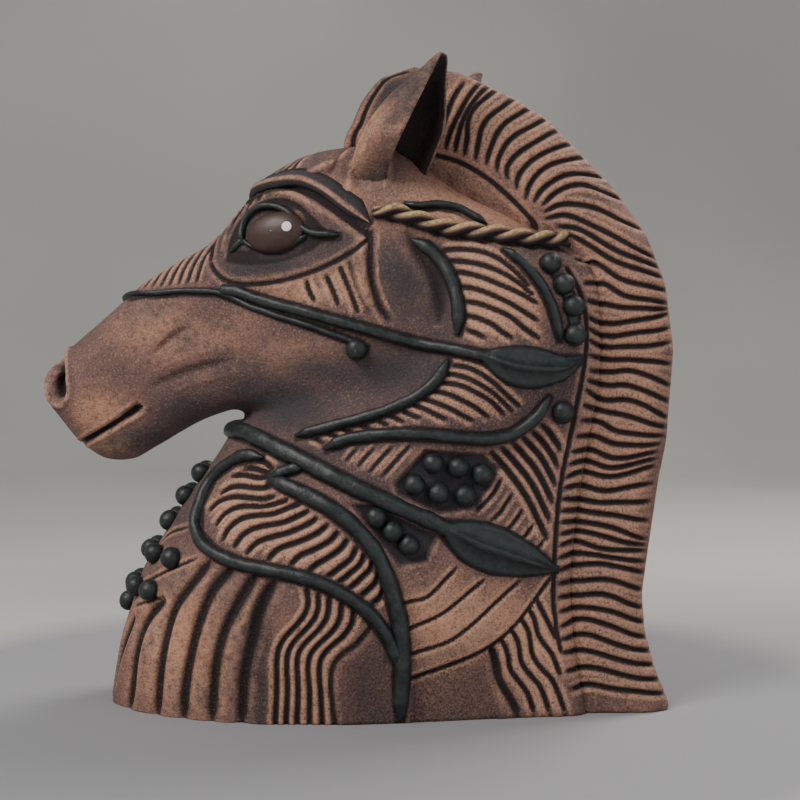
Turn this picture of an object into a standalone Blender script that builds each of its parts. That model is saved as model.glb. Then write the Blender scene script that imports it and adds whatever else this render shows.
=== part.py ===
"""A horse's head and neck in fired clay, hollow and open at the base, dressed with clay armour bands,
leaf-ended straps, a twisted browband and berry studs.

The nose points along -X, the mane along +X and the horse's left side is the -Y side. Metres, +Z up.
"""

import math

import bmesh
import bpy
from mathutils import Matrix, Vector
from mathutils.bvhtree import BVHTree

# Driving dimensions
BUST_LENGTH = 0.393  # nose tip to the mane's outermost edge
BUST_HEIGHT = 0.400  # base to ear tips
BASE_WIDTH = 0.150  # across the shoulders near the base
HEAD_WIDTH = 0.100  # across the forehead and cheeks
CLAY_WALL = 0.009  # thickness of the hollow clay body
MANE_THICKNESS = 0.045  # across the mane where it grows from the neck
NECK_ROOT_WIDTH = 0.056  # across the neck where the mane grows from it
BAND_WIDTH = 0.0085  # across a plain band of the armour
BAND_RISE = 0.0048  # how far a plain band stands off the body
LEAF_LENGTH = 0.078  # of the leaf that ends the throat strap
LEAF_WIDTH = 0.030
LEAF_RISE = 0.0075  # the leaf's ridge above the body
LEAF_TIP_WIDTH = 0.0024
BERRY_DIAMETER = 0.013
ROPE_DIAMETER = 0.011  # across the twisted browband
EAR_LENGTH = 0.095
EAR_WIDTH = 0.055
EAR_WALL = 0.0055
EYE_LENGTH = 0.037
EYE_HEIGHT = 0.0245
EYE_DEPTH = 0.0070  # from the eye's middle to its front
MOUTH_DEPTH = 0.0055
PANEL_DEPTH = 0.0026  # of the sunk berry panels
PANEL_FLOOR = 0.0014  # thickness of the slip clay in their floor
SEAT_GAP = 0.0003  # clearance between a piece and what carries it
PANEL_REACH = 0.012  # how far the cutter of a panel reaches either side of the skin
BAND_ROOT = 0.0028  # how deep a band is modelled into the body before it is cut to its seat
BELOW_BASE = 0.02  # how far cutters reach below the base

# How finely the clay body is faceted
HEAD_RING_STEPS = 8
NECK_FRONT_STEPS = 5
NECK_BACK_SHARES = (0.25, 0.55, 0.85, 1.0)
# And its hollow
HOLLOW_RING_STEPS = 4
HOLLOW_FRONT_STEPS = 3
HOLLOW_BACK_SHARES = (0.35, 0.75, 1.0)

# Head sections from the nose back: the crown point, the chin point, the half width and how far down
# the section is widest. x and z are shares of the bust's length and height, widths of HEAD_WIDTH.
HEAD_SECTIONS = (
    # crown_x, crown_z, chin_x, chin_z, half_width, widest, crown_shape, chin_shape
    (0.003, 0.516, 0.000, 0.474, 0.15, 0.50, 0.80, 0.80),
    (0.026, 0.548, 0.026, 0.442, 0.22, 0.48, 0.75, 0.75),
    (0.070, 0.585, 0.056, 0.405, 0.27, 0.46, 0.75, 0.70),
    (0.115, 0.623, 0.094, 0.380, 0.28, 0.45, 0.75, 0.65),
    (0.158, 0.662, 0.135, 0.378, 0.27, 0.43, 0.75, 0.65),
    (0.209, 0.692, 0.188, 0.408, 0.27, 0.42, 0.72, 0.65),
    (0.267, 0.722, 0.247, 0.442, 0.30, 0.40, 0.70, 0.60),
    (0.321, 0.772, 0.305, 0.462, 0.36, 0.38, 0.65, 0.55),
    (0.369, 0.832, 0.369, 0.455, 0.43, 0.37, 0.60, 0.50),
    (0.427, 0.862, 0.438, 0.435, 0.48, 0.38, 0.60, 0.42),
    (0.489, 0.872, 0.516, 0.432, 0.50, 0.42, 0.62, 0.36),
    (0.560, 0.874, 0.593, 0.450, 0.49, 0.45, 0.66, 0.36),
    (0.622, 0.835, 0.655, 0.505, 0.45, 0.50, 0.70, 0.42),
    (0.672, 0.795, 0.678, 0.585, 0.40, 0.50, 0.75, 0.60),
    (0.715, 0.765, 0.725, 0.650, 0.26, 0.50, 0.80, 0.80),
)

# Neck sections from the base up, cut level: the height, the front and back ends, the half width, how far
# back it is widest and the half width at the mane's root, a share of NECK_ROOT_WIDTH.
NECK_SECTIONS = (
    # height, front, back, half_width, widest, root
    (0.000, 0.098, 0.870, 0.467, 0.38, 0.50),
    (0.100, 0.116, 0.850, 0.493, 0.38, 0.50),
    (0.212, 0.154, 0.842, 0.483, 0.40, 0.50),
    (0.312, 0.219, 0.852, 0.440, 0.42, 0.50),
    (0.400, 0.282, 0.866, 0.397, 0.46, 0.50),
    (0.435, 0.303, 0.872, 0.383, 0.48, 0.50),
    (0.468, 0.351, 0.878, 0.377, 0.55, 0.50),
    (0.495, 0.496, 0.883, 0.373, 0.50, 0.50),
    (0.537, 0.565, 0.887, 0.370, 0.45, 0.50),
    (0.637, 0.595, 0.884, 0.357, 0.42, 0.50),
    (0.680, 0.580, 0.876, 0.340, 0.45, 0.49),
    (0.715, 0.560, 0.835, 0.307, 0.50, 0.46),
    (0.745, 0.572, 0.774, 0.273, 0.50, 0.42),
    (0.770, 0.585, 0.723, 0.233, 0.50, 0.37),
    (0.793, 0.605, 0.677, 0.180, 0.50, 0.30),
)

# Mane sections from the forelock over the crest to the base: the root and edge points, and the thickness
# at the root as a share of MANE_THICKNESS.
MANE_SECTIONS = (
    # root_x, root_z, edge_x, edge_z, thickness
    (0.478, 0.852, 0.462, 0.869, 0.20),
    (0.509, 0.850, 0.489, 0.893, 0.32),
    (0.545, 0.862, 0.512, 0.942, 0.42),
    (0.580, 0.862, 0.540, 0.974, 0.50),
    (0.612, 0.845, 0.595, 0.990, 0.60),
    (0.641, 0.820, 0.662, 0.981, 0.67),
    (0.667, 0.788, 0.707, 0.961, 0.76),
    (0.710, 0.770, 0.753, 0.938, 0.84),
    (0.756, 0.750, 0.802, 0.907, 0.90),
    (0.804, 0.724, 0.855, 0.853, 0.95),
    (0.842, 0.702, 0.908, 0.799, 1.00),
    (0.865, 0.662, 0.957, 0.730, 1.00),
    (0.873, 0.617, 0.987, 0.655, 1.00),
    (0.876, 0.555, 1.000, 0.555, 1.00),
    (0.860, 0.435, 0.990, 0.415, 1.00),
    (0.850, 0.374, 0.978, 0.354, 1.00),
    (0.833, 0.250, 0.961, 0.232, 1.00),
    (0.831, 0.180, 0.954, 0.178, 1.00),
    (0.835, 0.120, 0.959, 0.120, 1.00),
    (0.844, 0.062, 0.975, 0.062, 1.00),
    (0.860, 0.000, 1.000, 0.000, 1.00),
)
# Half of a mane section: how far out from the root, as a share of the mane's height, and the thickness there
MANE_PROFILE = (
    # out, thickness
    (-0.30, 1.00),
    (0.30, 0.94),
    (0.80, 0.74),
    (1.00, 0.30),
)

# The head's outline in side view, where it parts from the neck: under the jaw, along the jaw bands, below
# the twisted browband and out past the mane
SEAM_OUTLINE = (
    # x, z
    (-0.162, 0.300),
    (0.118, 0.300),
    (0.220, 0.380),
    (0.284, 0.435),
    (0.327, 0.440),
    (0.385, 0.420),
    (0.408, 0.420),
    (0.477, 0.440),
    (0.553, 0.459),
    (0.584, 0.470),
    (0.622, 0.493),
    (0.655, 0.534),
    (0.663, 0.570),
    (0.673, 0.630),
    (0.645, 0.693),
    (0.615, 0.725),
    (0.645, 0.734),
    (0.734, 0.718),
    (0.803, 0.714),
    (0.854, 0.703),
    (0.907, 0.697),
    (1.009, 0.697),
    (1.009, 1.125),
    (-0.162, 1.125),
)
MOUTH_OUTLINE = (
    # x, z
    (0.162, 0.463),
    (0.130, 0.442),
    (0.060, 0.408),
    (-0.020, 0.390),
    (-0.020, 0.376),
    (0.060, 0.396),
    (0.130, 0.433),
)

# The armour bands on one flank, drawn in side view as shares of the bust's length and height. Widths and
# rises are shares of BAND_WIDTH and BAND_RISE, a leaf's size is a share of the throat strap's leaf.
BANDS = (
    # name, width, rise, rings, leaf, route of (x, z)
    ("cheek_strap", 0.78, 1.0, 15, 0.85, (
        (0.335, 0.6405), (0.370, 0.629), (0.430, 0.614), (0.493, 0.597), (0.553, 0.581), (0.613, 0.565),
        (0.668, 0.556), (0.714, 0.546), (0.766, 0.531), (0.825, 0.529), (0.860, 0.544))),
    ("jaw_band_upper", 0.94, 1.1, 8, 0.0, (
        (0.599, 0.719), (0.626, 0.706), (0.648, 0.684), (0.666, 0.652), (0.674, 0.615), (0.672, 0.577))),
    ("jaw_band_lower", 0.74, 1.0, 8, 0.0, (
        (0.659, 0.541), (0.649, 0.521), (0.631, 0.500), (0.604, 0.482), (0.563, 0.464), (0.517, 0.450),
        (0.471, 0.438), (0.424, 0.425))),
    ("crown_band", 0.52, 0.8, 6, 0.0, (
        (0.590, 0.772), (0.610, 0.768), (0.637, 0.771), (0.668, 0.765), (0.694, 0.752), (0.713, 0.742))),
    ("nape_band", 0.66, 0.9, 7, 0.0, (
        (0.739, 0.705), (0.765, 0.686), (0.790, 0.660), (0.808, 0.630), (0.819, 0.598), (0.824, 0.568))),
    ("collar_band", 0.80, 1.0, 10, 0.0, (
        (0.472, 0.407), (0.498, 0.421), (0.529, 0.427), (0.579, 0.432), (0.632, 0.431), (0.684, 0.426),
        (0.728, 0.424), (0.761, 0.434), (0.788, 0.456), (0.810, 0.487))),
)
THROAT_FRONT = (0.291, 0.432)
THROAT_ROUTE = (
    # x, z
    (0.341, 0.426),
    (0.382, 0.412),
    (0.433, 0.392),
    (0.489, 0.367),
    (0.543, 0.343),
    (0.595, 0.319),
    (0.644, 0.297),
    (0.706, 0.265),
    (0.788, 0.235),
    (0.824, 0.223),
)
NOSE_TOP = (0.122, 0.637)
NOSE_ROUTE = (
    # x, z
    (0.130, 0.631),
    (0.180, 0.639),
    (0.231, 0.643),
    (0.274, 0.643),
    (0.303, 0.640),
    (0.341, 0.626),
    (0.390, 0.609),
    (0.446, 0.591),
    (0.492, 0.575),
    (0.535, 0.560),
)
BREAST_LOOP_ROUTE = (
    # x, z
    (0.372, 0.392),
    (0.340, 0.393),
    (0.310, 0.377),
    (0.283, 0.354),
    (0.269, 0.324),
    (0.263, 0.292),
    (0.275, 0.266),
    (0.303, 0.250),
    (0.345, 0.238),
    (0.390, 0.231),
    (0.440, 0.223),
    (0.485, 0.208),
    (0.525, 0.184),
    (0.555, 0.155),
    (0.575, 0.120),
    (0.586, 0.082),
)
SHOULDER_ROUTE = (
    # x, z
    (0.383, 0.362),
    (0.416, 0.352),
    (0.455, 0.337),
    (0.495, 0.316),
    (0.532, 0.284),
    (0.558, 0.247),
    (0.575, 0.202),
    (0.586, 0.157),
    (0.591, 0.105),
    (0.589, 0.052),
    (0.587, 0.004),
)
SHOULDER_SPUR_ROUTE = (
    # x, z
    (0.383, 0.362),
    (0.410, 0.374),
    (0.445, 0.382),
)
ROPE_ROUTE = (
    # x, z
    (0.544, 0.758),
    (0.571, 0.758),
    (0.598, 0.751),
    (0.643, 0.736),
    (0.689, 0.728),
    (0.734, 0.722),
    (0.779, 0.716),
    (0.816, 0.714),
    (0.846, 0.705),
)
BROW_ROUTE = (
    # x, z
    (0.338, 0.783),
    (0.382, 0.803),
    (0.425, 0.807),
    (0.463, 0.793),
    (0.500, 0.767),
    (0.538, 0.743),
)
EYELID_ROUTE = (
    # x, z
    (0.317, 0.697),
    (0.324, 0.728),
    (0.340, 0.757),
    (0.368, 0.772),
    (0.402, 0.774),
    (0.431, 0.761),
    (0.451, 0.739),
    (0.468, 0.725),
    (0.447, 0.715),
    (0.422, 0.704),
    (0.386, 0.695),
    (0.349, 0.695),
)
EYELID_TAIL = (
    # x, z
    (0.460, 0.727),
    (0.476, 0.726),
    (0.493, 0.724),
)
EYE_PLACE = (0.391, 0.732)
NOSTRIL_PLACE = (0.030, 0.506)
CHEEK_STUD_PLACE = (0.518, 0.556)
NAPE_STUD_PLACE = (0.829, 0.464)
NAPE_BERRIES = (
    # x, z
    (0.809, 0.682),
    (0.829, 0.652),
    (0.844, 0.620),
    (0.846, 0.578),
)
BERRY_PANELS = (
    # name, outline of (x, z), berries at (x, z)
    (
        "berry_panel_upper",
        (
            (0.622, 0.413), (0.712, 0.405), (0.744, 0.381), (0.706, 0.316), (0.645, 0.308), (0.581, 0.338),
            (0.574, 0.360),
        ),
        ((0.636, 0.388), (0.673, 0.381), (0.709, 0.370), (0.608, 0.356), (0.644, 0.343), (0.683, 0.339)),
    ),
    (
        "berry_panel_lower",
        ((0.505, 0.332), (0.545, 0.334), (0.650, 0.282), (0.630, 0.238), (0.586, 0.231)),
        ((0.552, 0.309), (0.576, 0.288), (0.600, 0.267)),
    ),
)
# Rows of berries down the chest: the row's height and how far each is from the middle, a share of BASE_WIDTH
CHEST_ROWS = (
    # height, places
    (0.358, (0.053,)),
    (0.322, (0.060,)),
    (0.283, (0.073,)),
    (0.237, (0.060, 0.173, 0.287)),
    (0.185, (0.053, 0.153, 0.267)),
    (0.155, (0.053,)),
)

# How each band that isn't in BANDS is swept: widths and rises are shares of BAND_WIDTH and BAND_RISE, and
# count is the number of its rings
LID_SWEEP = {"width": 0.72, "rise": 0.75, "count": 14}
LID_TAIL_SWEEP = {"width": 0.72, "rise": 0.75, "count": 4}
BROW_SWEEP = {"width": 0.94, "rise": 1.15, "count": 8}
THROAT_SWEEP = {"width": 1.20, "rise": 1.20, "count": 27, "leaf": 1.0, "leaf_at_start": True}
NOSE_SWEEP = {"width": 0.40, "rise": 0.60, "count": 19}
SHOULDER_SWEEP = {"width": 1.10, "rise": 1.10, "count": 10}
LOOP_SWEEP = {"width": 0.88, "rise": 1.00, "count": 13}
SPUR_SWEEP = {"width": 0.80, "rise": 0.90, "count": 4}
STRING_SWEEP = {"width": 0.80, "rise": 0.30, "count": 5}
ROOM = SEAT_GAP * 2  # how much larger the room is that a neighbour leaves for a piece

EYE_SUNK = 0.0005
EYE_TILT = Vector((1, 0, 0.16))
NOSTRIL_TILT = Vector((0.35, 0, 1))
NOSTRIL_RADII = (0.0115, 0.0075, 0.0060)
BERRY_LIFT = 0.35  # how far a berry's middle stands off the body, as a share of its radius
ROPE_LIFT = 0.55
ROPE_TURNS = 4.5
ROPE_RINGS_PER_TURN = 5
ROPE_SIDES = 8
CURVE_STEPS = 8
# The section of a plain band, and of a leafed one where it is plain and where it is a leaf
PLAIN_PROFILE = (
    # out, height, leaf_height
    (-1.00, 0.18, 0.18),
    (-0.52, 0.92, 0.92),
    (0.52, 0.92, 0.92),
    (1.00, 0.18, 0.18),
)
LEAF_PROFILE = (
    # out, height, leaf_height
    (-1.00, 0.18, 0.24),
    (-0.60, 0.82, 0.50),
    (0.00, 1.00, 1.00),
    (0.60, 0.82, 0.50),
    (1.00, 0.18, 0.24),
)

# The ear: its base on the head, and sections from below its root to its tip
EAR_BASE = (0.546, 0.36, 0.783)  # x and z shares of the bust, y a share of HEAD_WIDTH
EAR_LEAN = math.radians(26)  # back from upright
EAR_EXTRA_RAKE = 8  # degrees that the right ear is turned further back
EAR_EXTRA_LENGTH = 1.09  # how much longer the right ear is, a share of EAR_LENGTH
EAR_SPREAD = 0.10  # outward lean, as a share of the ear's length
EAR_OPENS_BACK = math.radians(60)
EAR_WRAP = math.radians(125)
EAR_STEPS = 6
EAR_SECTIONS = (
    # out, width, depth
    (-0.15, 0.98, 0.90),
    (0.02, 1.00, 0.90),
    (0.24, 1.00, 0.90),
    (0.44, 0.94, 0.90),
    (0.62, 0.78, 0.88),
    (0.82, 0.42, 0.85),
    (1.00, 0.14, 0.80),
)

part = bpy.data.collections.new("armoured_horse_head")
cutters = bpy.data.collections.new("cutters")


def along(share):
    """The x of a share of the bust's length, measured from the nose tip."""
    return (share - 0.5) * BUST_LENGTH


def up(share):
    """The z of a share of the bust's height."""
    return share * BUST_HEIGHT


def clear_scene():
    for obj in list(bpy.data.objects):
        bpy.data.objects.remove(obj, do_unlink=True)
    for collection in (part, cutters):
        bpy.context.scene.collection.children.link(collection)


def clay(name, colour, roughness):
    material = bpy.data.materials.new(name)
    material.use_nodes = True
    shader = material.node_tree.nodes["Principled BSDF"]
    shader.inputs["Base Color"].default_value = (*colour, 1.0)
    shader.inputs["Roughness"].default_value = roughness
    shader.inputs["Metallic"].default_value = 0.0
    return material


def add_mesh(name, shape, material=None, cutter=False):
    """Turns a bmesh into a named object, a piece of the part or a cutter."""
    bmesh.ops.recalc_face_normals(shape, faces=shape.faces)
    mesh = bpy.data.meshes.new(name)
    shape.to_mesh(mesh)
    shape.free()
    obj = bpy.data.objects.new(name, mesh)
    (cutters if cutter else part).objects.link(obj)
    if cutter:
        obj.hide_render = True
        obj.display_type = "WIRE"
    else:
        mesh.materials.append(material)
        mesh.shade_smooth()
        mesh.set_sharp_from_angle(angle=math.radians(40))
    return obj


def skin_between(shape, first, second):
    """Triangles between two rings, split the same way on both sides of the middle plane."""
    count = len(first)
    for k in range(count):
        after = (k + 1) % count
        if k < count / 2:
            shape.faces.new((first[k], first[after], second[after]))
            shape.faces.new((first[k], second[after], second[k]))
        else:
            shape.faces.new((first[k], first[after], second[k]))
            shape.faces.new((first[after], second[after], second[k]))


def loft(rings):
    """A closed skin through rings of equal length, with flat ends."""
    shape = bmesh.new()
    loops = [[shape.verts.new(point) for point in ring] for ring in rings]
    for first, second in zip(loops, loops[1:]):
        skin_between(shape, first, second)
    shape.faces.new(loops[0])
    shape.faces.new(list(reversed(loops[-1])))
    return shape


def loop_loft(rings):
    """A closed skin through rings that come round to the first again."""
    shape = bmesh.new()
    loops = [[shape.verts.new(point) for point in ring] for ring in rings]
    for first, second in zip(loops, loops[1:] + loops[:1]):
        skin_between(shape, first, second)
    return shape


def boolean(obj, operation, other):
    cut = obj.modifiers.new(f"{operation.lower()} {other.name}", "BOOLEAN")
    cut.operation = operation
    cut.solver = "EXACT"
    cut.object = other


def head_ring(section, grow, steps=HEAD_RING_STEPS):
    crown_x, crown_z, chin_x, chin_z, half_width, widest, crown_shape, chin_shape = section
    crown = Vector((along(crown_x), 0, up(crown_z)))
    chin = Vector((along(chin_x), 0, up(chin_z)))
    rise = (crown - chin).normalized()
    crown += rise * grow
    chin -= rise * grow
    half = half_width * HEAD_WIDTH + grow
    side = []
    for k in range(steps + 1):
        turn = math.pi * k / steps
        if turn <= math.pi / 2:
            down = widest * (1 - math.cos(turn))
            shape = crown_shape
        else:
            down = widest - (1 - widest) * math.cos(turn)
            shape = chin_shape
        point = crown.lerp(chin, down)
        point.y = half * max(math.sin(turn), 0.0) ** shape
        side.append(point)
    far = [Vector((p.x, -p.y, p.z)) for p in reversed(side[1:-1])]
    return side + far


def neck_ring(section, grow, height=None, front_steps=NECK_FRONT_STEPS, back_shares=NECK_BACK_SHARES):
    level, front, back, half_width, widest, root = section
    front_x = along(front) - grow
    back_x = along(back) + grow
    half = half_width * BASE_WIDTH + grow
    root_half = root * NECK_ROOT_WIDTH + grow
    z = up(level) if height is None else height
    side = []
    for k in range(front_steps + 1):
        turn = math.pi / 2 * k / front_steps
        side.append((widest * (1 - math.cos(turn)), half * math.sin(turn)))
    for share in back_shares:
        ease = math.cos(math.pi / 2 * share) ** 1.3
        side.append((widest + (1 - widest) * share, root_half + (half - root_half) * ease))
    points = [Vector((front_x + (back_x - front_x) * u, y, z)) for u, y in side]
    far = [Vector((p.x, -p.y, p.z)) for p in reversed(points[1:])]
    return points + far


def head_rings(grow):
    return [head_ring(section, grow) for section in HEAD_SECTIONS]


def neck_rings(grow):
    rings = [neck_ring(section, grow) for section in NECK_SECTIONS]
    rings[-1] = neck_ring(NECK_SECTIONS[-1], grow, up(NECK_SECTIONS[-1][0]) + grow)
    return rings


def body_form(name, grow):
    """The outside of head and neck as one solid cutter, grown by a clearance."""
    neck = neck_rings(grow)
    if grow > 0:
        neck.insert(0, neck_ring(NECK_SECTIONS[0], grow, -BELOW_BASE))
    form = add_mesh(name, loft(head_rings(grow)), cutter=True)
    boolean(form, "UNION", add_mesh(name + "_neck", loft(neck), cutter=True))
    return form


def hollow_form():
    """The space inside the clay wall, from below the base up into the forehead."""
    steps = {"front_steps": HOLLOW_FRONT_STEPS, "back_shares": HOLLOW_BACK_SHARES}
    head = [head_ring(section, -CLAY_WALL, HOLLOW_RING_STEPS) for section in HEAD_SECTIONS[2:-1:2]]
    neck = [neck_ring(NECK_SECTIONS[0], -CLAY_WALL, -BELOW_BASE, **steps)]
    neck += [neck_ring(section, -CLAY_WALL, **steps) for section in NECK_SECTIONS[1:-2:2]]
    form = add_mesh("hollow", loft(head), cutter=True)
    boolean(form, "UNION", add_mesh("hollow_neck", loft(neck), cutter=True))
    return form


def mane_ring(section, grow):
    root_x, root_z, edge_x, edge_z, thickness = section
    root = Vector((along(root_x), 0, up(root_z)))
    edge = Vector((along(edge_x), 0, up(edge_z)))
    edge += (edge - root).normalized() * grow
    half = thickness * MANE_THICKNESS / 2
    near = []
    for out, share in MANE_PROFILE:
        point = root.lerp(edge, out)
        point.y = half * share + grow
        near.append(point)
    return near + [Vector((p.x, -p.y, p.z)) for p in reversed(near)]


def seam_prism(name, grow):
    """The side outline of the head piece, where it parts from the neck, carried across the bust."""
    outline = [Vector((along(x), up(z))) for x, z in SEAM_OUTLINE]
    moved = []
    for before, point, after in zip(outline[-1:] + outline, outline, outline[1:] + outline[:1]):
        into = (point - before).normalized()
        out_of = (after - point).normalized()
        mitre = (Vector((into.y, -into.x)) + Vector((out_of.y, -out_of.x))).normalized()
        moved.append(point + mitre * grow / max(mitre.dot(Vector((into.y, -into.x))), 0.5))
    rings = [[Vector((p.x, y, p.y)) for p in moved] for y in (-BASE_WIDTH, BASE_WIDTH)]
    return add_mesh(name, loft(rings), cutter=True)


def curve_through(points, count, closed=False):
    """Evenly spaced samples of a smooth curve through points, each with its distance from the start."""
    points = list(points)
    if closed:
        padded = points[-1:] + points + points[:2]
    else:
        padded = [points[0] * 2 - points[1]] + points + [points[-1] * 2 - points[-2]]
    fine = []
    for a, b, c, d in zip(padded, padded[1:], padded[2:], padded[3:]):
        for step in range(CURVE_STEPS):
            t = step / CURVE_STEPS
            fine.append((
                b * 2 + (c - a) * t + (a * 2 - b * 5 + c * 4 - d) * t**2 + (b * 3 - a - c * 3 + d) * t**3
            ) / 2)
    fine.append(points[0] if closed else points[-1])
    lengths = [0.0]
    for one, two in zip(fine, fine[1:]):
        lengths.append(lengths[-1] + (two - one).length)
    samples = []
    k = 0
    for n in range(count):
        goal = lengths[-1] * n / (count if closed else count - 1)
        while k < len(fine) - 2 and lengths[k + 1] < goal:
            k += 1
        share = (goal - lengths[k]) / max(lengths[k + 1] - lengths[k], 1e-9)
        samples.append((fine[k].lerp(fine[k + 1], share), goal))
    return samples, lengths[-1]


def cast(x_share, z_share, side):
    """Where a level line across the bust meets its flank, and the outward normal there."""
    start = Vector((along(x_share), side * BASE_WIDTH, up(z_share)))
    point, normal, _, _ = surface.ray_cast(start, Vector((0, -side, 0)))
    if point is None:
        point, normal, _, _ = surface.find_nearest(Vector((start.x, 0, start.z)))
    return point, normal


def on_flank(rows, side):
    return [cast(x, z, side)[0] for x, z in rows]


def band_half(distance, length, width, leaf, leaf_at_start):
    """Half the width of a band at a distance along it, and how leaf-like its section is there."""
    half = width * BAND_WIDTH / 2
    to_ends = [length - distance]
    if leaf_at_start or not leaf:
        to_ends.append(distance)
    left = min(to_ends)
    if leaf and left < leaf * LEAF_LENGTH:
        along_leaf = 1 - left / (leaf * LEAF_LENGTH)
        swell = max(math.sin(math.pi * along_leaf**0.8), 0.0) ** 0.85 * leaf * LEAF_WIDTH / 2
        return max(half * (1 - along_leaf), swell, LEAF_TIP_WIDTH / 2), min(along_leaf * 4, 1.0)
    return half * min(0.45 + 0.55 * left / (BAND_WIDTH * 0.9), 1.0), 0.0


def sweep(route, width, rise, count, leaf=0.0, leaf_at_start=False, closed=False, grow=0.0):
    """A clay band laid along a route on the body: half round, or ridged where it swells into a leaf."""
    samples, length = curve_through(route, count, closed)
    found = [surface.find_nearest(point) for point, _ in samples]
    rings = []
    for k, (_, distance) in enumerate(samples):
        before = found[k - 1 if closed else max(k - 1, 0)]
        after = found[(k + 1) % count if closed else min(k + 1, count - 1)]
        point = found[k][0]
        normal = (before[1] + found[k][1] * 2 + after[1]).normalized()
        across = (after[0] - before[0]).cross(normal).normalized()
        if closed:
            half, leafy = width * BAND_WIDTH / 2, 0.0
        else:
            half, leafy = band_half(distance, length, width, leaf, leaf_at_start)
        top = (rise * BAND_RISE) * (1 - leafy) + LEAF_RISE * leafy * min(half / (LEAF_WIDTH / 4), 1.0)
        top = max(top, BAND_RISE * 0.4) + grow
        ring = []
        for out, plain_height, leaf_height in LEAF_PROFILE if leaf else PLAIN_PROFILE:
            height = plain_height + (leaf_height - plain_height) * leafy
            ring.append(point + across * out * (half + grow) + normal * top * height)
        for out in (0.85, -0.85):
            ring.append(point + across * out * (half + grow) - normal * BAND_ROOT)
        rings.append(ring)
    return loop_loft(rings) if closed else loft(rings)


def facing(point, normal, level):
    """A frame at a point with its Z along the normal and its X as near as can be to a direction."""
    z_axis = normal.normalized()
    y_axis = z_axis.cross(level).normalized()
    x_axis = y_axis.cross(z_axis)
    frame = Matrix((x_axis, y_axis, z_axis)).transposed().to_4x4()
    frame.translation = point
    return frame


def ball(frame, radii, segments, rings):
    """A flattened ball in a frame."""
    shape = bmesh.new()
    size = Matrix.Diagonal((*radii, 1.0))
    bmesh.ops.create_uvsphere(shape, u_segments=segments, v_segments=rings, radius=1.0, matrix=frame @ size)
    return shape


def berry(point, normal):
    radius = BERRY_DIAMETER / 2
    frame = facing(point + normal * radius * BERRY_LIFT, normal, Vector((1, 0, 0.01)))
    return ball(frame, (radius, radius, radius), 10, 4)


def seated(name, shape, material, *others):
    """A piece pressed on the clay body: what would lie in the body, or in the other cutters, is cut away."""
    piece = add_mesh(name, shape, material)
    for other in (seat, *others):
        boolean(piece, "DIFFERENCE", other)
    return piece


def rope_shape(route, turns, grow=0.0):
    """Two strands twisted together, as one two-lobed section turning along the route."""
    count = round(turns * ROPE_RINGS_PER_TURN) + 1
    samples, length = curve_through(route, count)
    found = [surface.find_nearest(point) for point, _ in samples]
    rings = []
    for k, (point, normal, _, _) in enumerate(found):
        ahead = found[min(k + 1, count - 1)][0] - found[max(k - 1, 0)][0]
        across = ahead.cross(normal).normalized()
        left = min(samples[k][1], length - samples[k][1])
        radius = ROPE_DIAMETER / 2 * min(0.55 + 0.45 * left / ROPE_DIAMETER, 1.0)
        centre = point + normal * radius * ROPE_LIFT
        turn = 2 * math.pi * k / ROPE_RINGS_PER_TURN
        ring = []
        for n in range(ROPE_SIDES):
            angle = 2 * math.pi * n / ROPE_SIDES
            reach = radius * (0.87 + 0.16 * math.cos(2 * (angle - turn))) + grow
            ring.append(centre + across * reach * math.cos(angle) + normal * reach * math.sin(angle))
        rings.append(ring)
    return loft(rings)


def ear_shape(side, rake, length):
    """A rolled, pointed leaf of clay, open outwards and back."""
    base = Vector((along(EAR_BASE[0]), side * EAR_BASE[1] * HEAD_WIDTH, up(EAR_BASE[2])))
    lean = EAR_LEAN + rake
    tip = base + Vector((math.sin(lean), side * EAR_SPREAD, math.cos(lean))) * length
    axis = (tip - base).normalized()
    opening = Vector((math.sin(EAR_OPENS_BACK), side * math.cos(EAR_OPENS_BACK), 0))
    opening = (opening - axis * opening.dot(axis)).normalized()
    across = axis.cross(opening)
    rings = []
    for out, width, depth in EAR_SECTIONS:
        centre = base.lerp(tip, out)
        outer = width * EAR_WIDTH / 2
        inner = outer - min(EAR_WALL, outer * 0.55)
        ring = []
        for radius, steps in ((outer, range(EAR_STEPS + 1)), (inner, range(EAR_STEPS, -1, -1))):
            for k in steps:
                angle = EAR_WRAP * (2 * k / EAR_STEPS - 1)
                turned = across * math.sin(angle) - opening * depth * math.cos(angle)
                ring.append(centre + turned * radius)
        rings.append(ring)
    return loft(rings)


def panel_shape(outline, side, shrink):
    """A panel's outline carried straight through the neck's skin."""
    hits = on_flank(outline, side)
    middle = sum(hits, Vector()) / len(hits)
    normal = surface.find_nearest(middle)[1]
    rings = []
    for reach in (PANEL_REACH, -PANEL_REACH):
        flat = [point - normal * (point - middle).dot(normal) + normal * reach for point in hits]
        rings.append([point + (middle + normal * reach - point).normalized() * shrink for point in flat])
    return loft(rings)


def side_prism(rows, half_depth):
    """An outline in side view carried across the bust."""
    return loft([[Vector((along(x), y, up(z))) for x, z in rows] for y in (-half_depth, half_depth)])


clear_scene()
TERRACOTTA = clay("terracotta", (0.42, 0.24, 0.17), 0.9)
BLACK_SLIP = clay("black_slip", (0.018, 0.024, 0.024), 0.55)
OCHRE_SLIP = clay("ochre_slip", (0.50, 0.36, 0.16), 0.8)
BROWN_GLAZE = clay("brown_glaze", (0.10, 0.035, 0.015), 0.12)

seat = body_form("seat", SEAT_GAP)
surface = BVHTree.FromObject(seat, bpy.context.evaluated_depsgraph_get())
hollow = hollow_form()
panel_bed = body_form("panel_bed", -PANEL_DEPTH)
panel_seat = body_form("panel_seat", SEAT_GAP - PANEL_DEPTH)
panel_top = body_form("panel_top", PANEL_FLOOR - PANEL_DEPTH)

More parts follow.
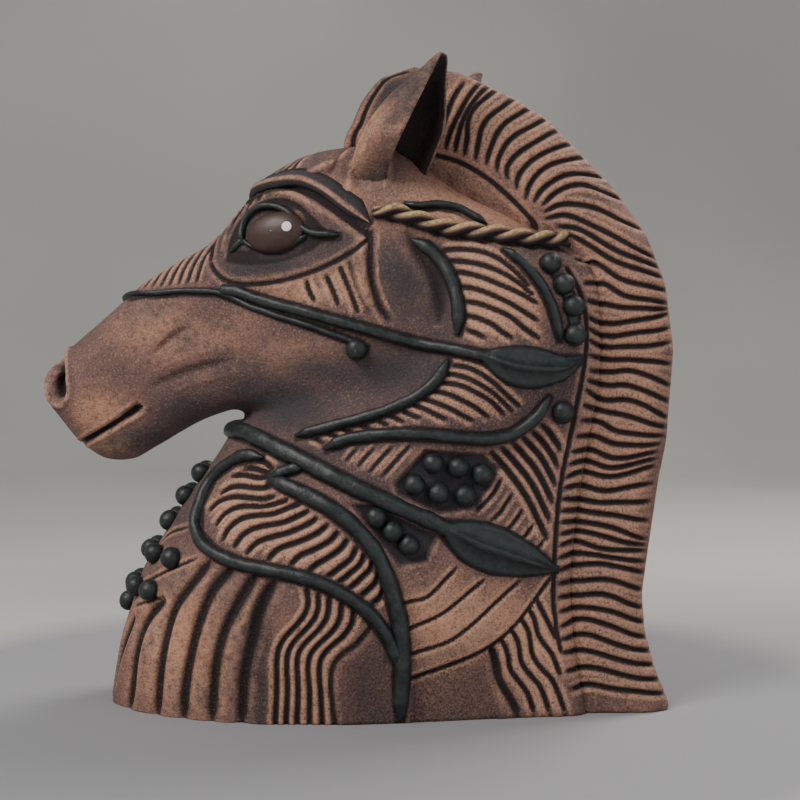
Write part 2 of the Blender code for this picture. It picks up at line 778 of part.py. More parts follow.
# The clay body: a head and a neck, luted together under the bands
head_shell = add_mesh("head_shell", loft(head_rings(0.0)), TERRACOTTA)
boolean(head_shell, "UNION", add_mesh("head_shell_neck", loft(neck_rings(0.0)), cutter=True))
boolean(head_shell, "DIFFERENCE", hollow)
boolean(head_shell, "INTERSECT", seam_prism("head_side", 0.0))

neck_shell = add_mesh("neck_shell", loft(neck_rings(0.0)), TERRACOTTA)
boolean(neck_shell, "UNION", add_mesh("neck_shell_head", loft(head_rings(0.0)), cutter=True))
boolean(neck_shell, "DIFFERENCE", hollow)
boolean(neck_shell, "DIFFERENCE", seam_prism("head_room", SEAT_GAP))

mane = seated("mane", loft([mane_ring(section, 0.0) for section in MANE_SECTIONS]), TERRACOTTA)
mane_room = add_mesh("mane_room", loft([mane_ring(section, SEAT_GAP) for section in MANE_SECTIONS]), cutter=True)

# The mouth, cut no deeper than the lips
mouth = add_mesh("mouth", side_prism(MOUTH_OUTLINE, HEAD_WIDTH), cutter=True)
lips_inside = add_mesh("lips_inside", loft([head_ring(s, -MOUTH_DEPTH) for s in HEAD_SECTIONS[:8]]), cutter=True)
boolean(mouth, "DIFFERENCE", lips_inside)
boolean(head_shell, "DIFFERENCE", mouth)

for side, hand in ((-1, "left"), (1, "right")):
    nostril_at, nostril_out = cast(*NOSTRIL_PLACE, side)
    nostril_frame = facing(nostril_at, nostril_out, NOSTRIL_TILT)
    nostril = add_mesh(f"nostril_{hand}", ball(nostril_frame, NOSTRIL_RADII, 10, 6), cutter=True)
    boolean(head_shell, "DIFFERENCE", nostril)

    # The eye, set in a socket in the head and held by its lids
    eye_at, eye_out = cast(*EYE_PLACE, side)
    eye_frame = facing(eye_at - eye_out * EYE_SUNK, eye_out, EYE_TILT)
    eye_radii = Vector((EYE_LENGTH / 2, EYE_HEIGHT / 2, EYE_DEPTH))
    add_mesh(f"eye_{hand}", ball(eye_frame, eye_radii, 12, 6), BROWN_GLAZE)
    room_radii = eye_radii + Vector((1, 1, 1)) * SEAT_GAP * 1.5
    eye_room = add_mesh(f"eye_room_{hand}", ball(eye_frame, room_radii, 12, 6), cutter=True)
    boolean(head_shell, "DIFFERENCE", eye_room)
    lids = sweep(on_flank(EYELID_ROUTE, side), **LID_SWEEP, closed=True)
    eyelids = add_mesh(f"eyelids_{hand}", lids, BLACK_SLIP)
    tail = sweep(on_flank(EYELID_TAIL, side), **LID_TAIL_SWEEP)
    boolean(eyelids, "UNION", add_mesh(f"eyelid_tail_{hand}", tail, cutter=True))
    boolean(eyelids, "DIFFERENCE", seat)
    boolean(eyelids, "DIFFERENCE", eye_room)

    # The twisted browband, and the room that the pieces beside it leave for it
    rope_route = on_flank(ROPE_ROUTE, side)
    seated(f"browband_{hand}", rope_shape(rope_route, ROPE_TURNS), OCHRE_SLIP, mane_room)
    rope_room = add_mesh(f"rope_room_{hand}", rope_shape(rope_route, ROPE_TURNS, ROOM), cutter=True)
    brow_route = on_flank(BROW_ROUTE, side)
    seated(f"brow_{hand}", sweep(brow_route, **BROW_SWEEP), TERRACOTTA, rope_room)
    brow_room = add_mesh(f"brow_room_{hand}", sweep(brow_route, **BROW_SWEEP, grow=ROOM), cutter=True)

    ear_rake = math.radians(EAR_EXTRA_RAKE) if side > 0 else 0.0
    ear_length = EAR_LENGTH * (EAR_EXTRA_LENGTH if side > 0 else 1.0)
    ear = ear_shape(side, ear_rake, ear_length)
    seated(f"ear_{hand}", ear, TERRACOTTA, mane_room, rope_room, brow_room)

# The strap under the throat, one piece from the leaf on one side to the leaf on the other
throat_route = list(reversed(on_flank(THROAT_ROUTE, -1)))
throat_front = surface.find_nearest(Vector((along(THROAT_FRONT[0]), 0, up(THROAT_FRONT[1]))))[0]
throat_route = throat_route + [throat_front] + on_flank(THROAT_ROUTE, 1)
seated("throat_strap", sweep(throat_route, **THROAT_SWEEP), BLACK_SLIP)
throat_room = add_mesh("throat_room", sweep(throat_route, **THROAT_SWEEP, grow=ROOM), cutter=True)

# The cord over the nose, one piece from cheek to cheek
nose_route = list(reversed(on_flank(NOSE_ROUTE, -1)))
nose_top = surface.find_nearest(Vector((along(NOSE_TOP[0]), 0, up(NOSE_TOP[1]))))[0]
nose_route = nose_route + [nose_top] + on_flank(NOSE_ROUTE, 1)
seated("nose_cord", sweep(nose_route, **NOSE_SWEEP), BLACK_SLIP)
nose_room = add_mesh("nose_room", sweep(nose_route, **NOSE_SWEEP, grow=ROOM), cutter=True)

for side, hand in ((-1, "left"), (1, "right")):
    rooms = [throat_room, nose_room, mane_room, bpy.data.objects[f"rope_room_{hand}"]]
    for name, width, rise, rings, leaf, rows in BANDS:
        route = on_flank(rows, side)
        seated(f"{name}_{hand}", sweep(route, width, rise, rings, leaf), BLACK_SLIP, *rooms)
        room = sweep(route, width, rise, rings, leaf, grow=ROOM)
        rooms.append(add_mesh(f"{name}_room_{hand}", room, cutter=True))

    # The breast band: a loop round the breast and a strap down the shoulder, luted into one
    strap = sweep(on_flank(SHOULDER_ROUTE, side), **SHOULDER_SWEEP)
    breast = add_mesh(f"breast_band_{hand}", strap, BLACK_SLIP)
    loop = sweep(on_flank(BREAST_LOOP_ROUTE, side), **LOOP_SWEEP)
    spur = sweep(on_flank(SHOULDER_SPUR_ROUTE, side), **SPUR_SWEEP)
    boolean(breast, "UNION", add_mesh(f"breast_loop_{hand}", loop, cutter=True))
    boolean(breast, "UNION", add_mesh(f"shoulder_spur_{hand}", spur, cutter=True))
    boolean(breast, "DIFFERENCE", seat)
    boolean(breast, "DIFFERENCE", throat_room)

    # Berries pressed on the nape and cheek
    strip = sweep(on_flank(NAPE_BERRIES, side), **STRING_SWEEP)
    string = add_mesh(f"nape_berries_{hand}", strip, BLACK_SLIP)
    for number, place in enumerate(NAPE_BERRIES):
        boolean(string, "UNION", add_mesh(f"nape_{number}_{hand}", berry(*cast(*place, side)), cutter=True))
    for other in (seat, *rooms):
        boolean(string, "DIFFERENCE", other)
    for name, place in (("nape_stud", NAPE_STUD_PLACE), ("cheek_stud", CHEEK_STUD_PLACE)):
        seated(f"{name}_{hand}", berry(*cast(*place, side)), BLACK_SLIP, *rooms)

    # Sunk panels of berries in the neck, their floors following its skin
    for name, outline, places in BERRY_PANELS:
        pocket = add_mesh(f"{name}_pocket_{hand}", panel_shape(outline, side, 0.0), cutter=True)
        boolean(pocket, "DIFFERENCE", panel_bed)
        boolean(neck_shell, "DIFFERENCE", pocket)
        panel = add_mesh(f"{name}_{hand}", panel_shape(outline, side, SEAT_GAP), BLACK_SLIP)
        boolean(panel, "INTERSECT", panel_top)
        for number, place in enumerate(places):
            point, normal = cast(*place, side)
            sunk = berry(point - normal * (PANEL_DEPTH - PANEL_FLOOR), normal)
            boolean(panel, "UNION", add_mesh(f"{name}_berry_{number}_{hand}", sunk, cutter=True))
        boolean(panel, "DIFFERENCE", panel_seat)
        boolean(panel, "DIFFERENCE", throat_room)

# Berries down the front of the chest
number = 0
for row_height, row_places in CHEST_ROWS:
    for place in row_places:
        for side in (-1, 1):
            number += 1
            start = Vector((-BUST_LENGTH, side * place * BASE_WIDTH, up(row_height)))
            point, normal, _, _ = surface.ray_cast(start, Vector((1, 0, 0)))
            seated(f"chest_berry_{number}", berry(point, normal), BLACK_SLIP)
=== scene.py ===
"""The looks of the armoured horse head: a hand-built, hollow clay sculpture, carved, washed with dark slip
and dressed with black clay bands, ridged leaves, berry studs and a twisted browband.

The nose points along -X, the mane along +X and the horse's left side is the -Y side. Metres, +Z up.
"""

import math

import bmesh
import bpy
import numpy as np
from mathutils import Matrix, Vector
from mathutils.bvhtree import BVHTree
from mathutils.kdtree import KDTree


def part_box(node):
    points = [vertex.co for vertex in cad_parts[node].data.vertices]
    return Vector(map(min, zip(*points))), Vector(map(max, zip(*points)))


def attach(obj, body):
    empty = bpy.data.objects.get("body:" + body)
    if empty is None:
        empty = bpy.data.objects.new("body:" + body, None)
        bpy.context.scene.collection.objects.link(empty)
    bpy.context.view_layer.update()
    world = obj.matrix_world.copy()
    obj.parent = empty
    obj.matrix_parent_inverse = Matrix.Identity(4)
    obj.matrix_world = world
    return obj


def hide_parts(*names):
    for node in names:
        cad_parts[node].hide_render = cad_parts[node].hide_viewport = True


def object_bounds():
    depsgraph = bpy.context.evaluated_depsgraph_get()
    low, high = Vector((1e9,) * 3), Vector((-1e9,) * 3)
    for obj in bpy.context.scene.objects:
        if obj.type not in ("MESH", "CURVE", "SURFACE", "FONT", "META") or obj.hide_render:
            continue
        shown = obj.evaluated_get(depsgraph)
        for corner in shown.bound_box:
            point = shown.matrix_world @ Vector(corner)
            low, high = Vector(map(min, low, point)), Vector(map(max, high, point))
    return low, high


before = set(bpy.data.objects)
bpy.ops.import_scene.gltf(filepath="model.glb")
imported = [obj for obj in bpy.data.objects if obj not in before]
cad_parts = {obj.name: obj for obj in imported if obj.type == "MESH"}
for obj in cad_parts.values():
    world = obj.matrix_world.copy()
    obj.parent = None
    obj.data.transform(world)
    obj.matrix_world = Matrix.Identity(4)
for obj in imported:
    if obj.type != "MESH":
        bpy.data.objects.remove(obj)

cad_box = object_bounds()
SIDES = ((-1, "left"), (1, "right"))

# The photographer's table: a round pale cloth that curls up all round the sculpture, a big soft window
# light from the upper left, a weaker one from the right and one from behind that catches the mane.
LENS = 75.6
CAMERA_TURN = math.radians(6)
CAMERA_RISE = math.radians(3)
CAMERA_AWAY = 1.05
CAMERA_AIM = Vector((0.028, 0.0, 0.190))
CLOTH_RADIUS = 1.5
CLOTH_CURL = 0.5
CLOTH_TOP = 1.1
CLOTH_AROUND = 96
CLOTH_CURL_STEPS = 14
MAT_RADIUS = 0.30
MAT_EDGE = 0.37
LIGHT_AIM = Vector((0, 0, 0.2))
ROOM_TINT = (0.80, 0.83, 0.88, 1.0)
ROOM_GLOW = 0.34
LIGHTS = (
    # name, place, width, power, colour
    ("window", (-0.80, -1.00, 1.30), 0.75, 25.0, (1.0, 0.96, 0.91)),
    ("fill", (1.15, -1.10, 0.60), 1.1, 5.0, (0.88, 0.93, 1.0)),
    ("crest", (0.75, 0.65, 1.20), 0.6, 17.0, (1.0, 0.95, 0.90)),
)


def added(name, data):
    """A new object in the scene."""
    obj = bpy.data.objects.new(name, data)
    bpy.context.scene.collection.objects.link(obj)
    return obj


def mesh_from(shape, name):
    """The mesh of a shape that is built."""
    mesh = bpy.data.meshes.new(name)
    shape.to_mesh(mesh)
    shape.free()
    return mesh


away = Vector((
    math.sin(CAMERA_TURN) * math.cos(CAMERA_RISE),
    -math.cos(CAMERA_TURN) * math.cos(CAMERA_RISE),
    math.sin(CAMERA_RISE),
))
camera = added("camera", bpy.data.cameras.new("camera"))
camera.data.lens = LENS
camera.location = CAMERA_AIM + away * CAMERA_AWAY
camera.rotation_euler = (-away).to_track_quat("-Z", "Y").to_euler()
bpy.context.scene.camera = camera

for name, place, width, power, colour in LIGHTS:
    lamp = added(name, bpy.data.lights.new(name, "AREA"))
    lamp.data.size = width
    lamp.data.energy = power
    lamp.data.color = colour
    lamp.location = place
    lamp.rotation_euler = (LIGHT_AIM - lamp.location).to_track_quat("-Z", "Y").to_euler()

sky = bpy.data.worlds.new("room")
sky.use_nodes = True
sky.node_tree.nodes["Background"].inputs["Color"].default_value = ROOM_TINT
sky.node_tree.nodes["Background"].inputs["Strength"].default_value = ROOM_GLOW
bpy.context.scene.world = sky


class Tint:
    """A shader socket that can be added, multiplied and so on as a plain value."""

    def __init__(self, tree, socket=None):
        self.tree = tree
        self.socket = socket

    def node(self, kind, settings, sockets, out=0):
        made = self.tree.nodes.new("ShaderNode" + kind)
        for key, value in settings.items():
            setattr(made, key, value)
        for key, value in sockets.items():
            if isinstance(value, Tint):
                self.tree.links.new(value.socket, made.inputs[key])
            else:
                made.inputs[key].default_value = value
        return Tint(self.tree, made.outputs[out])

    def maths(self, operation, first, second):
        return self.node("Math", {"operation": operation}, {0: first, 1: second})

    def __add__(self, other):
        return self.maths("ADD", self, other)

    def __sub__(self, other):
        return self.maths("SUBTRACT", self, other)

    def __rsub__(self, other):
        return self.maths("SUBTRACT", other, self)

    def __mul__(self, other):
        return self.maths("MULTIPLY", self, other)

    __radd__ = __add__
    __rmul__ = __mul__

    def between(self, low, high):
        """0 below low, 1 above high."""
        return self.node("MapRange", {}, {"Value": self, "From Min": low, "From Max": high})

    def over(self, under, mask):
        """This colour laid over another where the mask is 1."""
        return self.node("Mix", {"data_type": "RGBA"}, {0: mask, 6: under, 7: self}, out=2)

    def noise(self, size, detail=3.0, rough=0.55):
        """Cloudy noise with features of about this size in metres."""
        place = self.node("TexCoord", {}, {}, out=3)
        sockets = {"Vector": place, "Scale": 1 / size, "Detail": detail, "Roughness": rough}
        return self.node("TexNoise", {}, sockets)

    def painted(self, name):
        return self.node("Attribute", {"attribute_name": name}, {}, out=2)

    def colour(self, red, green, blue):
        return self.node("RGB", {}, {}).set((red, green, blue, 1.0))

    def set(self, value):
        self.socket.default_value = value
        return self


def new_material(name):
    material = bpy.data.materials.new(name)
    material.use_nodes = True
    return material, Tint(material.node_tree), material.node_tree.nodes["Principled BSDF"]


def lay(shader, slot, value):
    """Gives a shader's socket a value or a link."""
    if isinstance(value, Tint):
        value.tree.links.new(value.socket, shader.inputs[slot])
    else:
        shader.inputs[slot].default_value = value


def bumped(tint, height, depth):
    return tint.node("Bump", {}, {"Height": height, "Distance": depth, "Strength": 1.0})


profile = [(0.02, 0.0), (0.3, 0.0), (0.7, 0.0), (CLOTH_RADIUS, 0.0)]
for step in range(1, CLOTH_CURL_STEPS + 1):
    turn = math.pi / 2 * step / CLOTH_CURL_STEPS
    profile.append((CLOTH_RADIUS + CLOTH_CURL * math.sin(turn), CLOTH_CURL * (1 - math.cos(turn))))
profile.append((CLOTH_RADIUS + CLOTH_CURL, CLOTH_TOP))
cloth = bmesh.new()
rings = []
for radius, height in profile:
    ring = []
    for step in range(CLOTH_AROUND):
        turn = 2 * math.pi * step / CLOTH_AROUND
        ring.append(cloth.verts.new((radius * math.cos(turn), radius * math.sin(turn), height)))
    rings.append(ring)
cloth.faces.new(rings[0])
for inner_ring, outer_ring in zip(rings, rings[1:]):
    for k in range(CLOTH_AROUND):
        after = (k + 1) % CLOTH_AROUND
        cloth.faces.new((inner_ring[k], outer_ring[k], outer_ring[after], inner_ring[after]))
cloth_mesh = mesh_from(cloth, "cloth")
cloth_mesh.shade_smooth()
backdrop = added("cloth", cloth_mesh)
pale_cloth, tint, shader = new_material("pale_cloth")
cloudy = tint.noise(1.1, 2.0).between(0.35, 0.70)
place = tint.node("TexCoord", {}, {}, out=3)
off_middle = tint.node("VectorMath", {"operation": "LENGTH"}, {0: place}, out=1)
pale = tint.colour(0.56, 0.55, 0.53)
shaded = tint.colour(0.40, 0.395, 0.38)
# The cloth is darker and a little cooler in a disc round the middle, under the sculpture
mat = tint.colour(0.29, 0.29, 0.305)
lay(shader, "Base Color", pale.over(shaded, cloudy).over(mat, off_middle.between(MAT_RADIUS, MAT_EDGE)))
lay(shader, "Roughness", 0.9)
cloth_mesh.materials.append(pale_cloth)


# The clay body: the head and the neck, coiled and pinched from grogged terracotta, smoothed with a rib
# and then carved. It is hollow and open at the base. The carving is cut into a fine skin that is first
# drawn over the frame's plain solids.
LENGTH = 2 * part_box("mane")[1].x
HEIGHT = cad_box[1].z
BODY_GRAIN = 0.0029
BODY_SWELL = 0.00025
MUZZLE_ROUNDS = 22
NECK_ROUNDS = 70
MUZZLE_END = -0.075
NECK_START = 0.015
INSIDE_SHARE = 0.15
INSIDE_ROUNDS = 6
LINE_SPACING = 0.0007
LINE_STEPS = 14
BESIDE_ALL = 0.3
BODY_RELIEF = (14, 0.0011)  # rounds of smoothing, and the height that counts as a full edge


def points_of(mesh):
    flat = np.empty(len(mesh.vertices) * 3)
    mesh.vertices.foreach_get("co", flat)
    return flat.reshape(-1, 3)


def set_points(mesh, points):
    mesh.vertices.foreach_set("co", points.ravel())
    mesh.update()


def normals_of(mesh):
    flat = np.empty(len(mesh.vertices) * 3)
    mesh.vertex_normals.foreach_get("vector", flat)
    return flat.reshape(-1, 3)


def edges_of(mesh):
    flat = np.empty(len(mesh.edges) * 2, dtype=np.int64)
    mesh.edges.foreach_get("vertices", flat)
    return flat.reshape(-1, 2)


def faces_of(mesh):
    return [tuple(face.vertices) for face in mesh.polygons]


def skin_of(mesh):
    """The mesh's surface, to find nearest points and hits on."""
    return BVHTree.FromPolygons(points_of(mesh).tolist(), faces_of(mesh))


def unit(rows):
    return rows / np.linalg.norm(rows, axis=-1, keepdims=True)


def averaged(points, edges, rounds):
    """The points drawn half-way to the middle of their neighbours, over and over."""
    count = len(points)
    one, two = edges[:, 0], edges[:, 1]
    neighbours = np.maximum(np.bincount(edges.ravel(), minlength=count), 1)[:, None]
    for _ in range(rounds):
        total = np.stack([
            np.bincount(one, points[two, axis], count) + np.bincount(two, points[one, axis], count)
            for axis in range(points.shape[1])
        ], axis=1)
        points = (points + total / neighbours) / 2
    return points


def ribbed_smooth(points, edges, rounds):
    """Smooths facets away without shrinking the form: what it takes off is put back smoothed."""
    once = averaged(points, edges, rounds)
    return once + averaged(points - once, edges, rounds)


def eased(values, low, high):
    share = np.clip((values - low) / (high - low), 0.0, 1.0)
    return share * share * (3 - 2 * share)


def fine_copy(name, nodes, grain, swell=0.0):
    """One even skin of small squares over copies of the frame's nodes."""
    shape = bmesh.new()
    for node in nodes:
        shape.from_mesh(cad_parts[node].data)
    bmesh.ops.remove_doubles(shape, verts=shape.verts, dist=0.00001)
    if swell:
        shape.normal_update()
        for corner in shape.verts:
            corner.co += corner.normal * swell
    return modified(mesh_from(shape, name), "REMESH", mode="VOXEL", voxel_size=grain)


def modified(mesh, kind, **settings):
    """The mesh with a modifier applied."""
    name = mesh.name
    obj = added(name, mesh)
    modifier = obj.modifiers.new(kind.lower(), kind)
    for key, value in settings.items():
        setattr(modifier, key, value)
    graph = bpy.context.evaluated_depsgraph_get()
    changed = bpy.data.meshes.new_from_object(obj.evaluated_get(graph))
    bpy.data.objects.remove(obj, do_unlink=True)
    changed.name = name
    return changed


def islands(mesh):
    """A label for each vertex: which connected part of the mesh it is in."""
    labels = np.arange(len(mesh.vertices))
    edges = edges_of(mesh)
    while True:
        low = np.minimum(labels[edges[:, 0]], labels[edges[:, 1]])
        before = labels.copy()
        np.minimum.at(labels, edges[:, 0], low)
        np.minimum.at(labels, edges[:, 1], low)
        labels = labels[labels]
        if np.array_equal(before, labels):
            return labels


def kept_part(mesh, keep, name):
    """A copy of a mesh with only the faces whose every corner is kept."""
    faces = [face for face in faces_of(mesh) if all(keep[k] for k in face)]
    used = np.unique(np.concatenate([np.array(face) for face in faces]))
    place = np.full(len(mesh.vertices), -1)
    place[used] = np.arange(len(used))
    part = bpy.data.meshes.new(name)
    part.from_pydata(points_of(mesh)[used].tolist(), [], [[int(place[k]) for k in face] for face in faces])
    return part


def curved(knots, count):
    """Evenly spaced points on a smooth curve through the knots."""
    knots = np.array(knots, dtype=float)
    padded = np.vstack([2 * knots[0] - knots[1], knots, 2 * knots[-1] - knots[-2]])
    share = np.linspace(0, 1, 12, endpoint=False)[:, None]
    pieces = []
    for a, b, c, d in zip(padded, padded[1:], padded[2:], padded[3:]):
        pieces.append((2 * b + (c - a) * share + (2 * a - 5 * b + 4 * c - d) * share**2
                       + (3 * b - a - 3 * c + d) * share**3) / 2)
    fine = np.vstack(pieces + [knots[-1:]])
    lengths = np.concatenate([[0], np.cumsum(np.linalg.norm(np.diff(fine, axis=0), axis=1))])
    goals = np.linspace(0, lengths[-1], count)
    return np.stack([np.interp(goals, lengths, fine[:, axis]) for axis in range(fine.shape[1])], axis=1)


def metres(rows):
    """x and z in metres, from thousandths of the length from the nose and of the height from the table."""
    return (np.array(rows, dtype=float) / 1000 - (0.5, 0.0)) * (LENGTH, HEIGHT)


def drawn_between(keys, count, sway=0.0, reach=0.0):
    """Lines that pass evenly from one key line to the next, each with a little sway of the hand."""
    keys = np.stack([curved(metres(key), LINE_STEPS) for key in keys])
    lines = []
    for number in range(count):
        place = number * (len(keys) - 1) / max(count - 1, 1)
        first = min(int(place), len(keys) - 2) if len(keys) > 1 else 0
        share = place - first
        line = keys[first] * (1 - share) + keys[min(first + 1, len(keys) - 1)] * share
        steps = np.linspace(0, 1, LINE_STEPS)
        run = np.gradient(line, axis=0)
        ahead = unit(run)
        across = np.stack([-ahead[:, 1], ahead[:, 0]], axis=1)
        swing = np.sin(2 * math.pi * (steps * 1.15 + 0.13 * number) + 0.9 * math.sin(number * 1.7))
        line = line + across * (swing * np.sin(math.pi * steps))[:, None] * sway
        ends = (line[0] - ahead[0] * reach, line[-1] + ahead[-1] * reach)
        lines.append(np.vstack([ends[0], line, ends[1]]) if reach else line)
    return lines


def length_of(line):
    return np.linalg.norm(np.diff(line, axis=0), axis=1).sum()


def laid_on(skin, line, side):
    """A side-view line in metres laid on the flank of a skin, with how strong it is at each point."""
    count = max(int(length_of(line) / LINE_SPACING), 4)
    found = []
    for k, (x, z) in enumerate(curved(line, count)):
        hit = skin.ray_cast(Vector((x, side * BESIDE_ALL, z)), Vector((0, -side, 0)))[0]
        if hit is not None:
            found.append((*hit, min(k, count - 1 - k) * LINE_SPACING))
    return found


def marks_of(lines, skin):
    """The points of all the lines, laid on both flanks of a skin."""
    return [mark for line in lines for side, _ in SIDES for mark in laid_on(skin, line, side)]


def pressed(points, marks, half_width, taper, beside=1.0):
    """How far each point is from the nearest line, in half widths, and how strong the line is there."""
    marks = np.array(marks)
    tree = KDTree(len(marks))
    for number, mark in enumerate(marks):
        tree.insert(mark[:3], number)
    tree.balance()
    across = np.full(len(points), beside)
    strength = np.zeros(len(points))
    low = marks[:, :3].min(axis=0) - half_width * beside
    high = marks[:, :3].max(axis=0) + half_width * beside
    for k in np.nonzero(np.all((points > low) & (points < high), axis=1))[0]:
        _, number, distance = tree.find(points[k])
        if distance < half_width * beside:
            across[k] = distance / half_width
            strength[k] = min((marks[number, 3] / taper) ** 0.5, 1.0) if taper else 1.0
    return across, strength


# Cuts that shape the body before its lines are carved: the flutes of the breast, the folds of the cheek and
# muzzle, the mouth and the nostrils, darkened down the middle with painted shade. A lip is the clay pushed
# up beside a cut.
BROAD_CUTS = (
    # name, half width, depth and taper in millimetres, darkness of the painted shade in the cut, lip in
    # millimetres, lines
    ("flutes", 8.5, 4.6, 9.0, 0.80, 0.0, (
        ((155, 145), (129, 85), (116, 40), (106, 0)),
        ((219, 178), (192, 152), (174, 122), (162, 77), (156, 30), (148, -6)),
        ((297, 245), (260, 199), (236, 166), (222, 124), (212, 68), (204, -6)),
        ((337, 240), (301, 198), (280, 152), (267, 104), (256, 48), (251, -6)),
        ((372, 230), (341, 177), (319, 133), (307, 80), (298, -6)),
        ((402, 222), (377, 172), (363, 120), (352, 67), (346, -6)))),
    ("cheek_fold", 5.5, 2.8, 8.0, 0.9, 0.8, (
        ((541, 735), (539, 690), (542, 652), (554, 618), (570, 594)),)),
    ("cheek_crease", 4.5, 1.3, 10.0, 0.35, 0.4, (
        ((502, 704), (511, 667), (523, 633), (541, 603)),)),
    ("jaw_hollow", 9.0, 3.2, 12.0, 0.50, 0.0, (
        ((590, 735), (612, 700), (636, 660), (643, 620), (640, 590)),)),
    ("muzzle_folds", 11.0, 2.2, 18.0, 0.42, 0.3, (
        ((325, 542), (289, 533), (239, 520), (180, 496)),
        ((259, 591), (224, 579), (182, 543)))),
    ("ear_fold", 7.0, 2.4, 14.0, 0.45, 0.5, (
        ((470, 815), (480, 835), (492, 860)),)),
    ("mouth", 4.6, 6.0, 5.0, 1.0, 0.7, (
        ((165, 468), (130, 442), (80, 414), (45, 399), (15, 392)),)),
    ("mouth_corner", 6.0, 5.0, 3.0, 1.0, 0.5, (
        ((137, 447), (152, 456), (168, 467)),)),
    ("nostril", 12.0, 10.0, 0.0, 1.0, 1.8, (
        ((21, 538), (26, 515), (29, 488)),)),
)
# Ridges pushed up with a finger, and the band of clay along the lower side of the cheek strap
RIDGES = (
    # name, half width, height and taper in millimetres, lines
    ("strap_ridge", 2.6, 1.7, 10.0, (
        ((320, 640), (370, 620), (430, 604), (493, 587), (553, 571), (600, 559)),)),
    ("ear_roots", 5.0, 2.2, 10.0, (
        ((505, 862), (480, 838), (455, 826), (428, 815)),
        ((512, 850), (508, 825), (506, 809), (500, 790)),
        ((561, 849), (562, 817), (559, 792)))),
    ("cheek_ridge", 6.0, 1.6, 10.0, (
        ((523, 725), (522, 690), (527, 652), (540, 618)),)),
    ("lid_fold", 4.0, 1.4, 8.0, (
        ((300, 700), (312, 748), (340, 779), (370, 791), (405, 791), (440, 775), (470, 750)),)),
)
